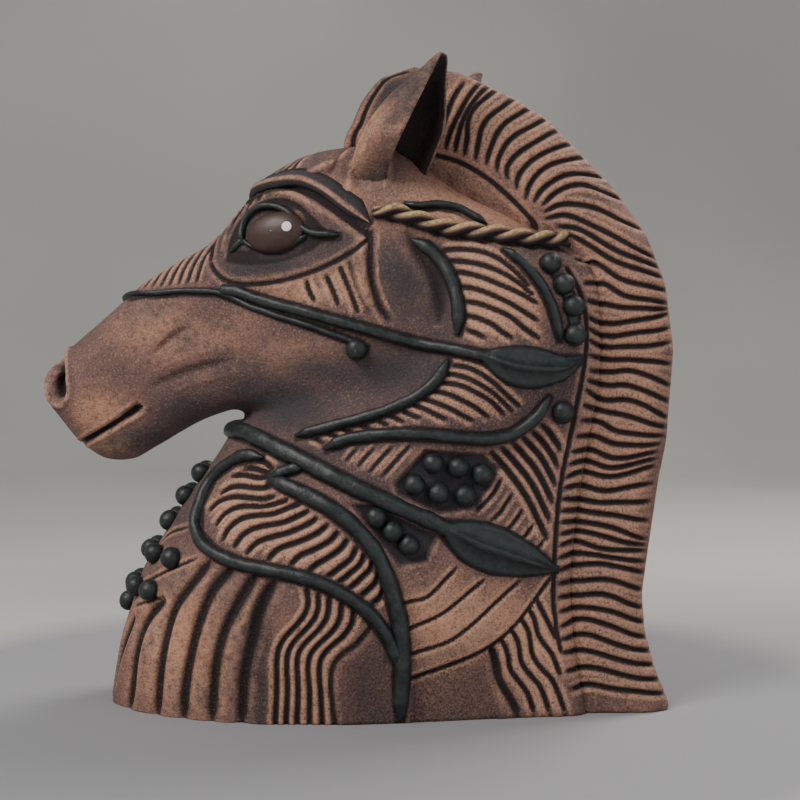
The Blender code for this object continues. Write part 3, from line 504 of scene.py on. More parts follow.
# Lines cut with a loop tool, in fields. Each field has a few key lines, and the rest fall between them.
# Reach is how far the lines run on past their key points, under the bands.
CARVED_FIELDS = (
    # name, lines, half width, depth, taper and reach in millimetres, ink, sway, key lines
    ("face", 8, 2.6, 1.5, 5.0, 2.0, 0.75, 0.2, (
        ((166, 672), (158, 660), (152, 650)),
        ((290, 735), (268, 695), (258, 658)))),
    ("forehead", 6, 2.8, 1.6, 5.0, 2.0, 0.75, 0.3, (
        ((290, 730), (300, 748), (316, 768)),
        ((408, 818), (420, 840), (440, 862)))),
    ("eye_plate_top", 1, 4.0, 3.0, 3.0, 0.0, 1.0, 0.0, (
        ((279, 689), (283, 724), (308, 762), (353, 792), (402, 802), (448, 786), (489, 759),
         (540, 723)),)),
    ("eye_plate_foot", 1, 2.8, 1.8, 3.0, 0.0, 1.0, 0.0, (
        ((540, 723), (511, 700), (475, 681), (431, 665), (383, 655), (333, 653), (299, 664),
         (279, 689)),)),
    ("lid_line", 1, 2.2, 1.2, 4.0, 0.0, 1.0, 0.0, (
        ((311, 690), (320, 735), (340, 762), (370, 776), (404, 777), (434, 763), (455, 740), (470, 728),
         (497, 724)),)),
    ("under_eye", 3, 3.0, 2.0, 4.0, 1.0, 0.95, 0.0, (
        ((440, 659), (445, 642), (454, 626)),
        ((471, 666), (482, 642), (490, 621)),
        ((493, 678), (508, 642), (520, 610)))),
    ("upper_neck", 7, 3.0, 2.2, 4.0, 1.0, 1.0, 0.2, (
        ((648, 703), (674, 704), (705, 701), (735, 690), (762, 668), (780, 649)),
        ((667, 671), (690, 667), (713, 661), (736, 652), (765, 639), (792, 624)),
        ((683, 627), (706, 623), (728, 615), (751, 604), (773, 587), (795, 572)),
        ((685, 586), (699, 580), (715, 573)))),
    ("under_leaf", 13, 2.7, 2.1, 4.0, 1.0, 1.0, 0.2, (
        ((664, 533), (684, 530), (706, 521), (729, 506), (748, 487), (766, 470)),
        ((643, 507), (661, 506), (684, 501), (706, 490), (724, 478), (743, 458)),
        ((618, 484), (639, 478), (662, 468), (679, 459), (697, 450)),
        ((586, 467), (601, 460), (617, 455)),
        ((550, 451), (559, 448), (568, 444)),
        ((491, 440), (505, 436), (515, 431)),
        ((449, 424), (459, 421), (468, 417)))),
    ("collar", 4, 2.3, 1.4, 6.0, 0.0, 0.90, 0.0, (
        ((524, 412), (512, 400), (502, 387)),
        ((604, 417), (579, 390), (557, 366)))),
    ("nape_slits", 6, 3.6, 2.6, 7.0, 1.0, 1.0, 0.2, (
        ((797, 444), (810, 431), (823, 413), (827, 402)),
        ((761, 422), (777, 405), (794, 386), (809, 357), (818, 337)),
        ((721, 404), (743, 380), (766, 349), (785, 318), (808, 269)))),
    ("mane_root", 1, 3.0, 1.8, 3.0, 0.0, 1.0, 0.0, (
        ((833, 681), (858, 633), (866, 585), (863, 533), (853, 481), (841, 420), (829, 360), (822, 299),
         (819, 239), (817, 178), (824, 124), (830, 95)),)),
    ("throat_lines", 5, 2.4, 1.5, 5.0, 2.0, 0.85, 0.3, (
        ((737, 362), (721, 335), (702, 317)),
        ((802, 269), (797, 262), (791, 256)))),
    ("breast", 17, 3.4, 3.0, 4.0, 1.5, 1.0, 0.2, (
        ((362, 387), (376, 385), (388, 377)),
        ((320, 363), (343, 366), (366, 363), (382, 365)),
        ((285, 311), (300, 325), (324, 333), (352, 333), (375, 333), (393, 337)),
        ((313, 271), (322, 288), (341, 302), (365, 308), (393, 312), (418, 322), (436, 328)),
        ((354, 254), (369, 269), (394, 279), (422, 287), (450, 299), (462, 308)),
        ((424, 239), (439, 253), (461, 263), (484, 275), (495, 288)),
        ((481, 223), (496, 233), (514, 247), (523, 264)),
        ((514, 206), (529, 218), (544, 233), (548, 247)),
        ((548, 182), (558, 191), (566, 205)))),
    ("shoulder_arcs", 4, 2.4, 1.5, 6.0, 8.0, 0.95, 0.0, (
        ((601, 183), (629, 190), (660, 220)),
        ((604, 144), (651, 164), (700, 202)),
        ((608, 106), (672, 128), (754, 198)),
        ((603, 67), (703, 101), (757, 139), (805, 201)))),
    ("hind_waves", 5, 3.0, 2.4, 4.0, 2.0, 1.0, 0.0, (
        ((739, 120), (748, 100), (753, 74), (766, 55), (779, 36), (788, 10)),
        ((768, 150), (780, 130), (786, 95), (801, 72), (818, 53), (835, 10)),
        ((792, 178), (801, 160), (810, 143), (821, 120)))),
    ("hind_edge", 1, 5.0, 2.0, 3.0, 1.0, 0.95, 0.0, (
        ((724, 109), (732, 82), (736, 59), (751, 33), (764, 8)),)),
    ("fore_waves", 5, 3.2, 2.4, 4.0, 3.0, 1.0, 0.0, (
        ((450, 201), (452, 181), (444, 162), (428, 144), (413, 126), (405, 102), (404, 54), (400, 0)),
        ((483, 189), (481, 166), (472, 149), (453, 129), (440, 114), (435, 93), (436, 54), (433, 0)),
        ((520, 172), (517, 153), (504, 134), (484, 117), (471, 100), (468, 77), (470, 46), (471, 0)))),
    ("fore_edge", 1, 3.6, 1.4, 3.0, 1.0, 0.75, 0.0, (
        ((548, 150), (523, 122), (502, 107), (489, 90), (485, 66), (486, 39), (490, 0)),)),
    ("chest_lines", 3, 2.2, 1.2, 8.0, 4.0, 0.8, 0.0, (
        ((243, 281), (212, 269), (187, 247)),
        ((265, 238), (216, 216), (163, 187)),
        ((210, 176), (185, 168), (160, 157)))),
)
# The locks of the mane are cut right across its root into the neck
MANE_LOCKS = 49
MANE_CUT = (3.2, 2.6, 8.0, 1.0, 0.0)  # half width, depth and taper in millimetres, ink, and lip
MANE_SWAY = 0.0007
MANE_KEYS = (
    ((618, 866), (623, 890), (630, 920), (648, 962)),
    ((645, 856), (653, 885), (667, 917), (703, 969)),
    ((675, 846), (678, 874), (686, 912), (734, 963)),
    ((709, 831), (715, 858), (737, 893), (792, 936)),
    ((745, 809), (743, 830), (769, 860), (839, 897)),
    ((770, 778), (780, 807), (811, 836), (885, 850)),
    ((794, 769), (820, 793), (862, 801), (934, 779)),
    ((798, 751), (836, 757), (885, 734), (978, 691)),
    ((833, 730), (873, 709), (923, 683), (991, 661)),
    ((858, 654), (893, 653), (931, 635), (997, 623)),
    ((864, 606), (889, 596), (924, 594), (998, 610)),
    ((866, 572), (895, 558), (932, 558), (999, 566)),
    ((868, 524), (901, 520), (940, 523), (1000, 497)),
    ((862, 497), (892, 480), (932, 478), (999, 447)),
    ((856, 449), (887, 446), (920, 428), (989, 423)),
    ((841, 401), (872, 402), (910, 391), (979, 399)),
    ((832, 361), (859, 369), (902, 363), (976, 378)),
    ((826, 330), (857, 329), (897, 321), (969, 324)),
    ((823, 295), (854, 295), (895, 286), (964, 263)),
    ((822, 258), (849, 263), (888, 254), (962, 246)),
    ((820, 221), (860, 227), (900, 229), (961, 211)),
    ((821, 181), (857, 182), (896, 180), (964, 155)),
    ((824, 135), (861, 145), (901, 133), (971, 109)),
    ((827, 97), (866, 95), (904, 87), (986, 66)),
    ((841, 40), (874, 44), (912, 39), (996, 24)),
)
SUNK_FIELDS = (
    # the outlines of the two berry fields
    ((622, 413), (712, 405), (744, 381), (706, 316), (645, 308), (581, 338), (574, 360)),
    ((505, 332), (545, 334), (650, 282), (630, 238), (586, 231)),
)
SUNK_DEPTH = 0.0026
SUNK_EDGE = 0.0045
PLAIN_FIELD = ((598, 75), (703, 107), (745, 135), (735, 60), (745, -50), (598, -50))
PLAIN_DEPTH = 0.0016
# A lip stands at this share of the half width, and the cut then keeps inside it
LIP_PLACE = 0.80
LIP_SPREAD = 0.13
LIPPED_CUT = 0.72
INK_FILL = 1.7
RIB_REACH = 1.7
LONE_RIB = 0.25
CONTACT_NEAR = 0.0004
CONTACT_FAR = 0.0026
# Washes: dark slip rubbed on (smoke), which in the hollow of the jaw stands for painted shade, wiped off to
# red (blush) or to bare clay (pale), and grog scraped open (rough). Each is a soft patch.
WASHES = {
    # x, z, reach along and reach up in thousandths, and strength
    "smoke": (
        (385, 725, 125, 75, 1.00), (560, 950, 60, 50, 0.95), (515, 820, 45, 20, 0.85),
        (455, 812, 30, 12, 0.70), (470, 725, 60, 30, 0.90), (590, 660, 50, 85, 0.85),
        (570, 520, 120, 60, 0.95), (400, 470, 120, 55, 1.00), (645, 650, 35, 85, 1.00),
        (500, 520, 70, 30, 0.80), (455, 525, 70, 35, 0.85), (380, 680, 110, 26, 1.00),
        (330, 800, 100, 50, 0.80), (250, 455, 90, 45, 0.80), (60, 580, 50, 35, 0.55),
        (180, 410, 70, 30, 0.70), (20, 460, 30, 60, 0.55), (540, 60, 60, 110, 0.50),
        (375, 120, 22, 120, 0.85), (690, 40, 80, 55, 0.25), (330, 215, 60, 25, 0.50),
        (420, 400, 120, 30, 0.75), (640, 360, 110, 60, 0.75), (230, 330, 60, 80, 0.60),
        (180, 200, 60, 40, 0.50), (840, 480, 30, 250, 0.40),
    ),
    "blush": (
        (230, 580, 120, 45, 0.55), (110, 455, 50, 35, 0.80), (120, 405, 50, 20, 0.45),
        (440, 645, 70, 26, 1.00), (430, 550, 80, 30, 0.35), (240, 110, 100, 110, 0.90),
        (680, 155, 85, 55, 1.00), (505, 800, 50, 35, 0.60), (700, 775, 120, 50, 1.00),
        (450, 100, 45, 100, 0.55), (790, 80, 50, 90, 0.55), (360, 330, 110, 60, 0.30),
        (740, 630, 60, 50, 0.50),
    ),
    "pale": (
        (700, 775, 120, 45, 0.62), (680, 155, 85, 55, 0.60), (640, 60, 60, 80, 0.28),
    ),
    "rough": (
        (540, 60, 60, 110, 1.00), (375, 120, 20, 120, 1.00), (690, 40, 80, 55, 1.00),
    ),
}


def carved(points, normals, skin, cuts):
    """Moves points inwards along the cuts. Gives them back, with how dark each is, as ink in carved lines
    and painted shade in broad cuts, and how rib-like each is.
    """
    ink = np.zeros(len(points))
    rib = np.zeros(len(points))
    sunk = np.zeros(len(points))
    pushed = np.zeros(len(points))
    for half_width, depth, taper, wash, lip, lines in cuts:
        marks = marks_of(lines, skin)
        across, strength = pressed(points, marks, half_width / 1000, taper / 1000, RIB_REACH)
        ribbed = eased(across, 0.50, 0.95) * (1 - eased(across, 0.75 * RIB_REACH, RIB_REACH))
        rib = np.maximum(rib, strength * ribbed * wash * (1.0 if len(lines) > 2 else LONE_RIB))
        if lip:
            pushed += lip / 1000 * strength * np.exp(-((across - LIP_PLACE) / LIP_SPREAD) ** 2)
            across = across / LIPPED_CUT
        cut = (1 - np.sin(np.pi / 2 * np.minimum(across, 1.0))) * strength
        sunk = np.maximum(sunk, cut * depth / 1000)
        ink = np.maximum(ink, np.clip(cut * INK_FILL, 0, 1) ** INK_FILL * wash)
    return points + normals * (pushed - sunk)[:, None], ink, rib


def washed(points, kind):
    """How strongly one kind of wash lies on each point."""
    amount = np.zeros(len(points))
    for x, z, reach_along, reach_up, strength in WASHES[kind]:
        x_off = (points[:, 0] / LENGTH + 0.5 - x / 1000) / (reach_along / 1000)
        z_off = (points[:, 2] / HEIGHT - z / 1000) / (reach_up / 1000)
        amount = np.maximum(amount, strength * np.exp(-(x_off**2 + z_off**2)))
    return amount


def inside_share(points, outline):
    """How deep points lie inside an outline drawn in side view: 1 well inside, 0 outside."""
    corners = metres(outline)
    x, z = points[:, 0], points[:, 2]
    inside = np.zeros(len(points), dtype=bool)
    nearest = np.full(len(points), np.inf)
    for (x1, z1), (x2, z2) in zip(corners, np.roll(corners, -1, axis=0)):
        crosses = (z1 > z) != (z2 > z)
        level = np.where(crosses, (x2 - x1) * (z - z1) / (z2 - z1 + 1e-12) + x1, -np.inf)
        inside ^= crosses & (x < level)
        run = np.array((x2 - x1, z2 - z1))
        share = np.clip(((x - x1) * run[0] + (z - z1) * run[1]) / (run @ run), 0, 1)
        nearest = np.minimum(nearest, np.hypot(x - x1 - run[0] * share, z - z1 - run[1] * share))
    return np.where(inside, eased(nearest, 0.0, SUNK_EDGE), 0.0)


def paint(mesh, **layers):
    """Stores how strongly each kind of mark lies on each point, or on all of them."""
    for name, values in layers.items():
        values = np.broadcast_to(np.clip(values, 0, 1), len(mesh.vertices))
        mesh.attributes.new(name, "FLOAT", "POINT").data.foreach_set("value", values.astype(np.float32))


def paint_relief(mesh, rounds, full, where=1.0):
    """Marks raised edges, for wear and a painted highlight, and hollows, for painted shade, from how far
    each point stands off the smoothed form.
    """
    points = points_of(mesh)
    off = ((points - averaged(points, edges_of(mesh), rounds)) * normals_of(mesh)).sum(axis=1)
    paint(mesh, edge=off / full * where, pit=-off / full * where)


body = fine_copy("clay_body", ("head_shell", "neck_shell"), BODY_GRAIN, BODY_SWELL)
points = points_of(body)
foot = points[:, 2] < BODY_GRAIN * 0.45
faces = [face for face in faces_of(body) if not all(foot[k] for k in face)]
open_body = bpy.data.meshes.new("open_body")
open_body.from_pydata(points.tolist(), [], faces)
labels = islands(open_body)
counts = {label: (labels == label).sum() for label in np.unique(labels)}
skins = sorted(counts, key=counts.get)[-2:]
outer_label = min(skins, key=lambda label: points[labels == label, 0].min())
inner_label = [label for label in skins if label != outer_label][0]
outer = kept_part(open_body, labels == outer_label, "outer_skin")
inner = kept_part(open_body, labels == inner_label, "inner_skin")

points = points_of(outer)
edges = edges_of(outer)
toward_neck = eased(points[:, 0], MUZZLE_END, NECK_START)[:, None]
points = (ribbed_smooth(points, edges, MUZZLE_ROUNDS) * (1 - toward_neck)
          + ribbed_smooth(points, edges, NECK_ROUNDS) * toward_neck)
set_points(outer, points)
outer = modified(outer, "SUBSURF", levels=1, render_levels=1)
points = points_of(outer)
points[:, 2] = np.maximum(points[:, 2] - points[:, 2].min(), 0.0)
set_points(outer, points)
smooth_skin = skin_of(outer)

broad = [(half, depth, taper, ink, lip, [metres(line) for line in lines])
         for _, half, depth, taper, ink, lip, lines in BROAD_CUTS]
points, broad_ink, _ = carved(points, normals_of(outer), smooth_skin, broad)
set_points(outer, points)
normals = normals_of(outer)
for _, half, height, taper, lines in RIDGES:
    marks = marks_of(map(metres, lines), smooth_skin)
    across, strength = pressed(points, marks, half / 1000, taper / 1000)
    points += normals * (strength * np.cos(np.pi / 2 * across) ** 2 * height / 1000)[:, None]
set_points(outer, points)
formed_skin = skin_of(outer)
locks = (*MANE_CUT, drawn_between(MANE_KEYS, MANE_LOCKS, MANE_SWAY))
fields = [locks]
for _, count, half, depth, taper, reach, ink, sway, keys in CARVED_FIELDS:
    fields.append((half, depth, taper, ink, 0.0, drawn_between(keys, count, sway / 1000, reach / 1000)))
normals = normals_of(outer)
points, ink, rib = carved(points, normals, formed_skin, fields)
berry_bed = np.maximum(*(inside_share(points, outline) for outline in SUNK_FIELDS))
plain = inside_share(points, PLAIN_FIELD)
points -= normals * (berry_bed * SUNK_DEPTH + plain * PLAIN_DEPTH)[:, None]
points[:, 2] = np.maximum(points[:, 2], 0.0)
set_points(outer, points)

# Painted shade darkens the body where anything is luted to it
near_shape = bmesh.new()
for name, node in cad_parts.items():
    if not name.endswith("_shell") and name != "mane" and not name.startswith(("berry_panel", "ear")):
        near_shape.from_mesh(node.data)
luted = BVHTree.FromBMesh(near_shape)
near_shape.free()
gaps = np.array([luted.find_nearest(Vector(point))[3] for point in points])
contact = 1 - eased(gaps, CONTACT_NEAR, CONTACT_FAR)

set_points(inner, averaged(points_of(inner), edges_of(inner), INSIDE_ROUNDS))
inner = modified(inner, "DECIMATE", ratio=INSIDE_SHARE)
# The ink layer also carries this painted shade round the luted pieces
paint(
    outer,
    ink=np.maximum(np.maximum(ink, broad_ink * 0.8), contact * 0.75),
    rib=np.maximum(rib, washed(points, "pale")) * (1 - berry_bed),
    smoke=np.maximum(washed(points, "smoke"), berry_bed),
    blush=washed(points, "blush"),
    rough=np.maximum(washed(points, "rough"), plain),
)
paint_relief(outer, *BODY_RELIEF)

shape = bmesh.new()
shape.from_mesh(outer)
shape.from_mesh(inner)
low_edges = (edge for edge in shape.edges if max(corner.co.z for corner in edge.verts) < BODY_GRAIN * 2)
rim = [edge for edge in low_edges if edge.is_boundary]
for edge in rim:
    for corner in edge.verts:
        corner.co.z = 0.0
bmesh.ops.bridge_loops(shape, edges=rim)
bmesh.ops.recalc_face_normals(shape, faces=shape.faces)
whole = mesh_from(shape, "whole_body")
whole.shade_smooth()

terracotta, tint, shader = new_material("carved_terracotta")
grain = tint.noise(0.0013, 4.0, 0.7)
cloud = tint.noise(0.030, 3.0, 0.6)
fleck = tint.noise(0.0045, 3.0, 0.65)
ink_mark = tint.painted("ink")
rib_mark = tint.painted("rib")
smoke = tint.painted("smoke")
blush = tint.painted("blush")
rough = tint.painted("rough")
edge_mark = tint.painted("edge")
pit = tint.painted("pit")
clay_brown = tint.colour(0.092, 0.060, 0.061)
clay_red = tint.colour(0.170, 0.094, 0.084)
tan = tint.colour(0.64, 0.352, 0.232)
ember = tint.colour(0.50, 0.190, 0.085)
slate = tint.colour(0.034, 0.033, 0.040)
night = tint.colour(0.014, 0.008, 0.009)
colour = clay_red.over(clay_brown, cloud.between(0.38, 0.62))
# Red wiped clay; on the ears' fronts and the brows' crests it is painted light
colour = ember.over(colour, (blush * 0.62) * cloud.between(0.38, 0.62))
colour = tan.over(colour, (blush * 0.78) * fleck.between(0.26, 0.56))
soot = tint.noise(0.045, 3.0, 0.6).between(0.48, 0.66) * 0.45
# Dark slip rubbed on, with painted shade in the jaw's hollow and at the ears' feet
colour = slate.over(colour, tint.maths("MAXIMUM", smoke * 0.97, soot) * (1 - rib_mark * 0.6))
# Rib tops between carved lines lighter: clay wiped bare, with a painted highlight
colour = tan.over(colour, rib_mark * grain.between(0.30, 0.56) * (0.84 - smoke * 0.30))
# Raised edges lighter: wear, with a painted highlight
colour = tan.over(colour, edge_mark.between(0.08, 0.70) * fleck.between(0.28, 0.60) * 0.62)
# Painted shade in the hollows
colour = night.over(colour, pit.between(0.10, 0.80) * 0.80)
# Ink in the carved lines, with painted shade in the broad cuts, the ears' hollows and round the luted
# pieces
colour = night.over(colour, ink_mark.between(0.12, 0.60) * 0.96)
colour = night.over(colour, grain.between(0.48, 0.32) * (0.52 + rough * 0.30))
colour = tan.over(colour, grain.between(0.53, 0.70) * (1 - ink_mark) * (0.50 - smoke * 0.43))
lay(shader, "Base Color", colour)
lay(shader, "Roughness", 0.58 + grain * 0.30)
lay(shader, "Specular IOR Level", 0.35)
lay(shader, "Normal", bumped(tint, grain * (0.6 + rough) + fleck * 0.6, 0.0013))

head_side = skin_of(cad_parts["head_shell"].data)
neck_side = skin_of(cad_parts["neck_shell"].data)


def piece_from(mesh, material, slot, *nodes):
    """A finished piece on the sculpture, standing for the frame's nodes."""
    mesh.materials.clear()
    mesh.materials.append(material)
    obj = added(mesh.name.split(".")[0], mesh)
    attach(obj, "root")
    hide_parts(*nodes)
    return obj


def split_piece(mesh, name, mask):
    """The faces in the mask as a mesh of their own, with the whole's shading and paint."""
    shape = bmesh.new()
    shape.from_mesh(mesh)
    shape.faces.ensure_lookup_table()
    bmesh.ops.delete(shape, geom=[shape.faces[k] for k in np.nonzero(~mask)[0]], context="FACES")
    part = mesh_from(shape, name)
    part.shade_smooth()
    return part


# Both parts keep the whole's shading, so that no seam shows between the head and the neck
layer = whole.attributes.new("kept_normal", "FLOAT_VECTOR", "POINT")
layer.data.foreach_set("vector", normals_of(whole).ravel().astype(np.float32))
in_head = np.zeros(len(whole.polygons), dtype=bool)
for face in whole.polygons:
    in_head[face.index] = head_side.find_nearest(face.center)[3] <= neck_side.find_nearest(face.center)[3]
for name, mask in (("head", in_head), ("neck", ~in_head)):
    part = split_piece(whole, name, mask)
    kept = np.empty(len(part.vertices) * 3, dtype=np.float32)
    part.attributes["kept_normal"].data.foreach_get("vector", kept)
    part.normals_split_custom_set_from_vertices(kept.reshape(-1, 3).tolist())
    part.attributes.remove(part.attributes["kept_normal"])
    piece_from(part, terracotta, "terracotta", f"{name}_shell")


# The mane: a thick slab of the same clay luted along the crest from the forelock to the base, and cut from
# root to edge with a loop tool in wavy locks. Its root is pressed down into the neck.
MANE_GRAIN = 0.00195
MANE_ROUNDS = 16
MANE_RELIEF = (12, 0.0010)
FORELOCK_CUT = (3.0, 2.2, 6.0, 1.0, 0.0)
FORELOCK_RIM = ((485, 872), (498, 885), (510, 899), (518, 920), (530, 943), (547, 966), (564, 976),
                (588, 981))
CREST_ROOT = ((622, 852), (669, 838), (716, 810), (762, 769), (795, 731))
FORELOCK_END = (500, 545)
ROOT_BURIED = 0.0020
FORELOCK_NEAR = 0.010
ROOT_NEAR = 0.004


def sunk_in(points, amount, near):
    """Draws points that are near the skin down into it, so that a root flows into the body."""
    points = points.copy()
    for k in np.nonzero(amount > 0.001)[0]:
        spot, normal, _, gap = formed_skin.find_nearest(Vector(points[k]))
        share = amount[k] * (1 - eased(np.array(gap), near * 0.3, near))
        under = np.array(spot) - np.array(normal) * ROOT_BURIED
        points[k] = points[k] * (1 - share) + under * share
    return points


mane = fine_copy("mane_locks", ("mane",), MANE_GRAIN)
set_points(mane, ribbed_smooth(points_of(mane), edges_of(mane), MANE_ROUNDS))
mane = modified(mane, "SUBSURF", levels=1, render_levels=1)
points = points_of(mane)
mane_skin = skin_of(mane)
edge_lines = (*FORELOCK_CUT, [metres(FORELOCK_RIM), metres(CREST_ROOT)])
points, ink, rib = carved(points, normals_of(mane), mane_skin, [locks, edge_lines])
points[:, 2] = np.maximum(points[:, 2], 0.0)
low_end, high_end = metres([(x, 0) for x in FORELOCK_END])[:, 0]
points = sunk_in(points, 1 - eased(points[:, 0], low_end, high_end), FORELOCK_NEAR)
points = sunk_in(points, np.ones(len(points)), ROOT_NEAR)
set_points(mane, points)
paint(mane, ink=ink, rib=rib * 0.7, smoke=washed(points, "smoke"), blush=0.25, rough=0.3)
paint_relief(mane, *MANE_RELIEF)
mane.shade_smooth()
piece_from(mane, terracotta, "terracotta", "mane")


# The ears: pointed leaves of clay, rolled, luted on beside the mane and thumbed smooth, so that their roots
# run into the head. Their hollows are darkened with painted shade.
EAR_GRAIN = 0.0011
EAR_ROUNDS = 75
EAR_RELIEF = (30, 0.0012)
EAR_FOOT = 0.818
EAR_ROOT_TOP = 0.880
for side, hand in SIDES:
    ear = fine_copy(f"ear_{hand}_rolled", (f"ear_{hand}",), EAR_GRAIN)
    set_points(ear, ribbed_smooth(points_of(ear), edges_of(ear), EAR_ROUNDS))
    points = points_of(ear)
    normals = normals_of(ear)
    middle = points.mean(axis=0)
    away_from_middle = ((points - middle) * normals).sum(axis=1)
    hollow = eased(-away_from_middle, -0.003, 0.002)
    level = points[:, 2] / HEIGHT
    low = 1 - eased(level, EAR_FOOT, EAR_ROOT_TOP)
    along = (level - EAR_ROOT_TOP) / (1 - EAR_ROOT_TOP)
    front = eased(-normals[:, 0], 0.1, 0.9)
    set_points(ear, sunk_in(points, low, BESIDE_ALL))
    # Each ear darkens towards its tip; its foot gets painted shade where it runs into the head, and its
    # front, turned to the window light, painted light
    smoke = np.maximum(eased(along, 0.05, 0.5) * (1 - front * 0.2), low * 0.5)
    blush = front * (1 - eased(along, 0.15, 0.7)) * 0.95
    paint(ear, ink=hollow * 0.85, rib=0.0, rough=0.2, smoke=smoke, blush=blush)
    paint_relief(ear, *EAR_RELIEF, 1 - low)
    ear.shade_smooth()
    piece_from(ear, terracotta, "terracotta", f"ear_{hand}")


# The armour bands: coils of clay rolled flat, luted on and painted with black slip that dries to a soft
# sheen. Some end in a ridged leaf.
BAND_WIDTH = 0.0085
BAND_RISE = 0.0048
BAND_ROOT = 0.0022
BAND_TAPER = BAND_WIDTH * 1.2
WANDERS = (260, 611, 337)  # how quickly width and rise wander along a band, in radians a metre
LEAF_LENGTH = 0.078
LEAF_WIDTH = 0.030
LEAF_RISE = 0.0080
LEAF_TIP = 0.0014
RING_SPACING = 0.0011
RAIL_TRIAL = 80
RAIL_ROUNDS = 12
CAST_FLOOR = 0.006
BAND_SIDES = 15
LEAF_SIDES = 31
BANDS = (
    # name, width, rise, leaf, route of (x, z)
    ("cheek_strap", 0.78, 1.0, 0.85, (
        (306, 645), (335, 640.5), (370, 629), (430, 614), (493, 597), (553, 581), (613, 565), (668, 556),
        (714, 546), (766, 531), (825, 529), (860, 544))),
    ("jaw_band_upper", 0.94, 1.1, 0.0, (
        (599, 719), (626, 706), (648, 684), (666, 652), (674, 615), (672, 577))),
    ("jaw_band_lower", 0.74, 1.0, 0.0, (
        (659, 541), (649, 521), (631, 500), (604, 482), (563, 464), (517, 450), (471, 438), (424, 425))),
    ("crown_band", 0.52, 0.8, 0.0, (
        (590, 772), (610, 768), (637, 771), (668, 765), (694, 752), (713, 742))),
    ("nape_band", 0.66, 0.9, 0.0, (
        (739, 705), (765, 686), (790, 660), (808, 630), (819, 598), (824, 568))),
    ("collar_band", 0.80, 1.0, 0.0, (
        (472, 407), (498, 421), (529, 427), (579, 432), (632, 431), (684, 426), (728, 424), (761, 434),
        (788, 456), (810, 487))),
)
BREAST_PARTS = (
    # width, rise, route of (x, z): the shoulder strap, the loop round the breast and the spur between them
    (1.10, 1.1, (
        (383, 362), (416, 352), (455, 337), (495, 316), (532, 284), (558, 247), (575, 202), (586, 157),
        (591, 105), (589, 52), (587, 4))),
    (0.88, 1.0, (
        (372, 392), (340, 393), (310, 377), (283, 354), (269, 324), (263, 292), (275, 266), (303, 250),
        (345, 238), (390, 231), (440, 223), (485, 208), (525, 184), (555, 155), (575, 120), (586, 82))),
    (0.80, 0.9, ((383, 362), (410, 374), (445, 382))),
)
THROAT_FRONT = (291, 432)
THROAT_ROUTE = (
    (341, 426), (382, 412), (433, 392), (489, 367), (543, 343), (595, 319), (644, 297), (706, 265),
    (788, 235), (824, 223),
)
NOSE_TOP = (122, 637)
NOSE_ROUTE = (
    (130, 631), (180, 639), (231, 643), (274, 643), (303, 640), (341, 626), (390, 609), (446, 591),
    (492, 575), (535, 560),
)


def on_flank(route, side):
    """Points of a side-view route, on the skin of one flank."""
    found = []
    for x, z in metres(route):
        level = max(z, CAST_FLOOR)
        hit = formed_skin.ray_cast(Vector((x, side * BESIDE_ALL, level)), Vector((0, -side, 0)))[0]
        if hit is None:
            hit = formed_skin.find_nearest(Vector((x, 0, level)))[0]
        found.append((hit.x, hit.y, hit.z + z - level))
    return found


def rail(knots, spacing=RING_SPACING):
    """A curve on the skin: its points, the directions out of and across it, and the distance along."""
    count = max(int(length_of(curved(knots, RAIL_TRIAL)) / spacing), 8)
    found = [formed_skin.find_nearest(Vector(point)) for point in curved(knots, count)]
    path = np.array([tuple(hit[0]) for hit in found])
    out = np.array([tuple(hit[1]) for hit in found])
    for _ in range(RAIL_ROUNDS):
        out[1:-1] = (out[:-2] + out[1:-1] * 2 + out[2:]) / 4
        path[1:-1] = (path[:-2] + path[1:-1] * 2 + path[2:]) / 4
    out = unit(out)
    across = unit(np.cross(np.gradient(path, axis=0), out))
    return path, out, across, np.linspace(0, length_of(path), count)


def tube_faces(rings, sides):
    """The faces of a closed tube, ring after ring, with a cap at each end."""
    faces = [tuple(range(sides - 1, -1, -1)), tuple(range((rings - 1) * sides, rings * sides))]
    for k in range(rings - 1):
        for n in range(sides):
            here, beside = k * sides + n, k * sides + (n + 1) % sides
            faces.append((here, beside, beside + sides, here + sides))
    return faces


def leaf_height(out):
    """The height across a leaf: a sharp mid rib, hollow halves and a raised rim."""
    rib = 0.58 * np.exp(-np.abs(out / 0.24) ** 1.2)
    rim = 0.10 * np.exp(-((np.abs(out) - 0.88) / 0.16) ** 2)
    return (0.42 + rib + rim) * (1 - np.abs(out) ** 8)


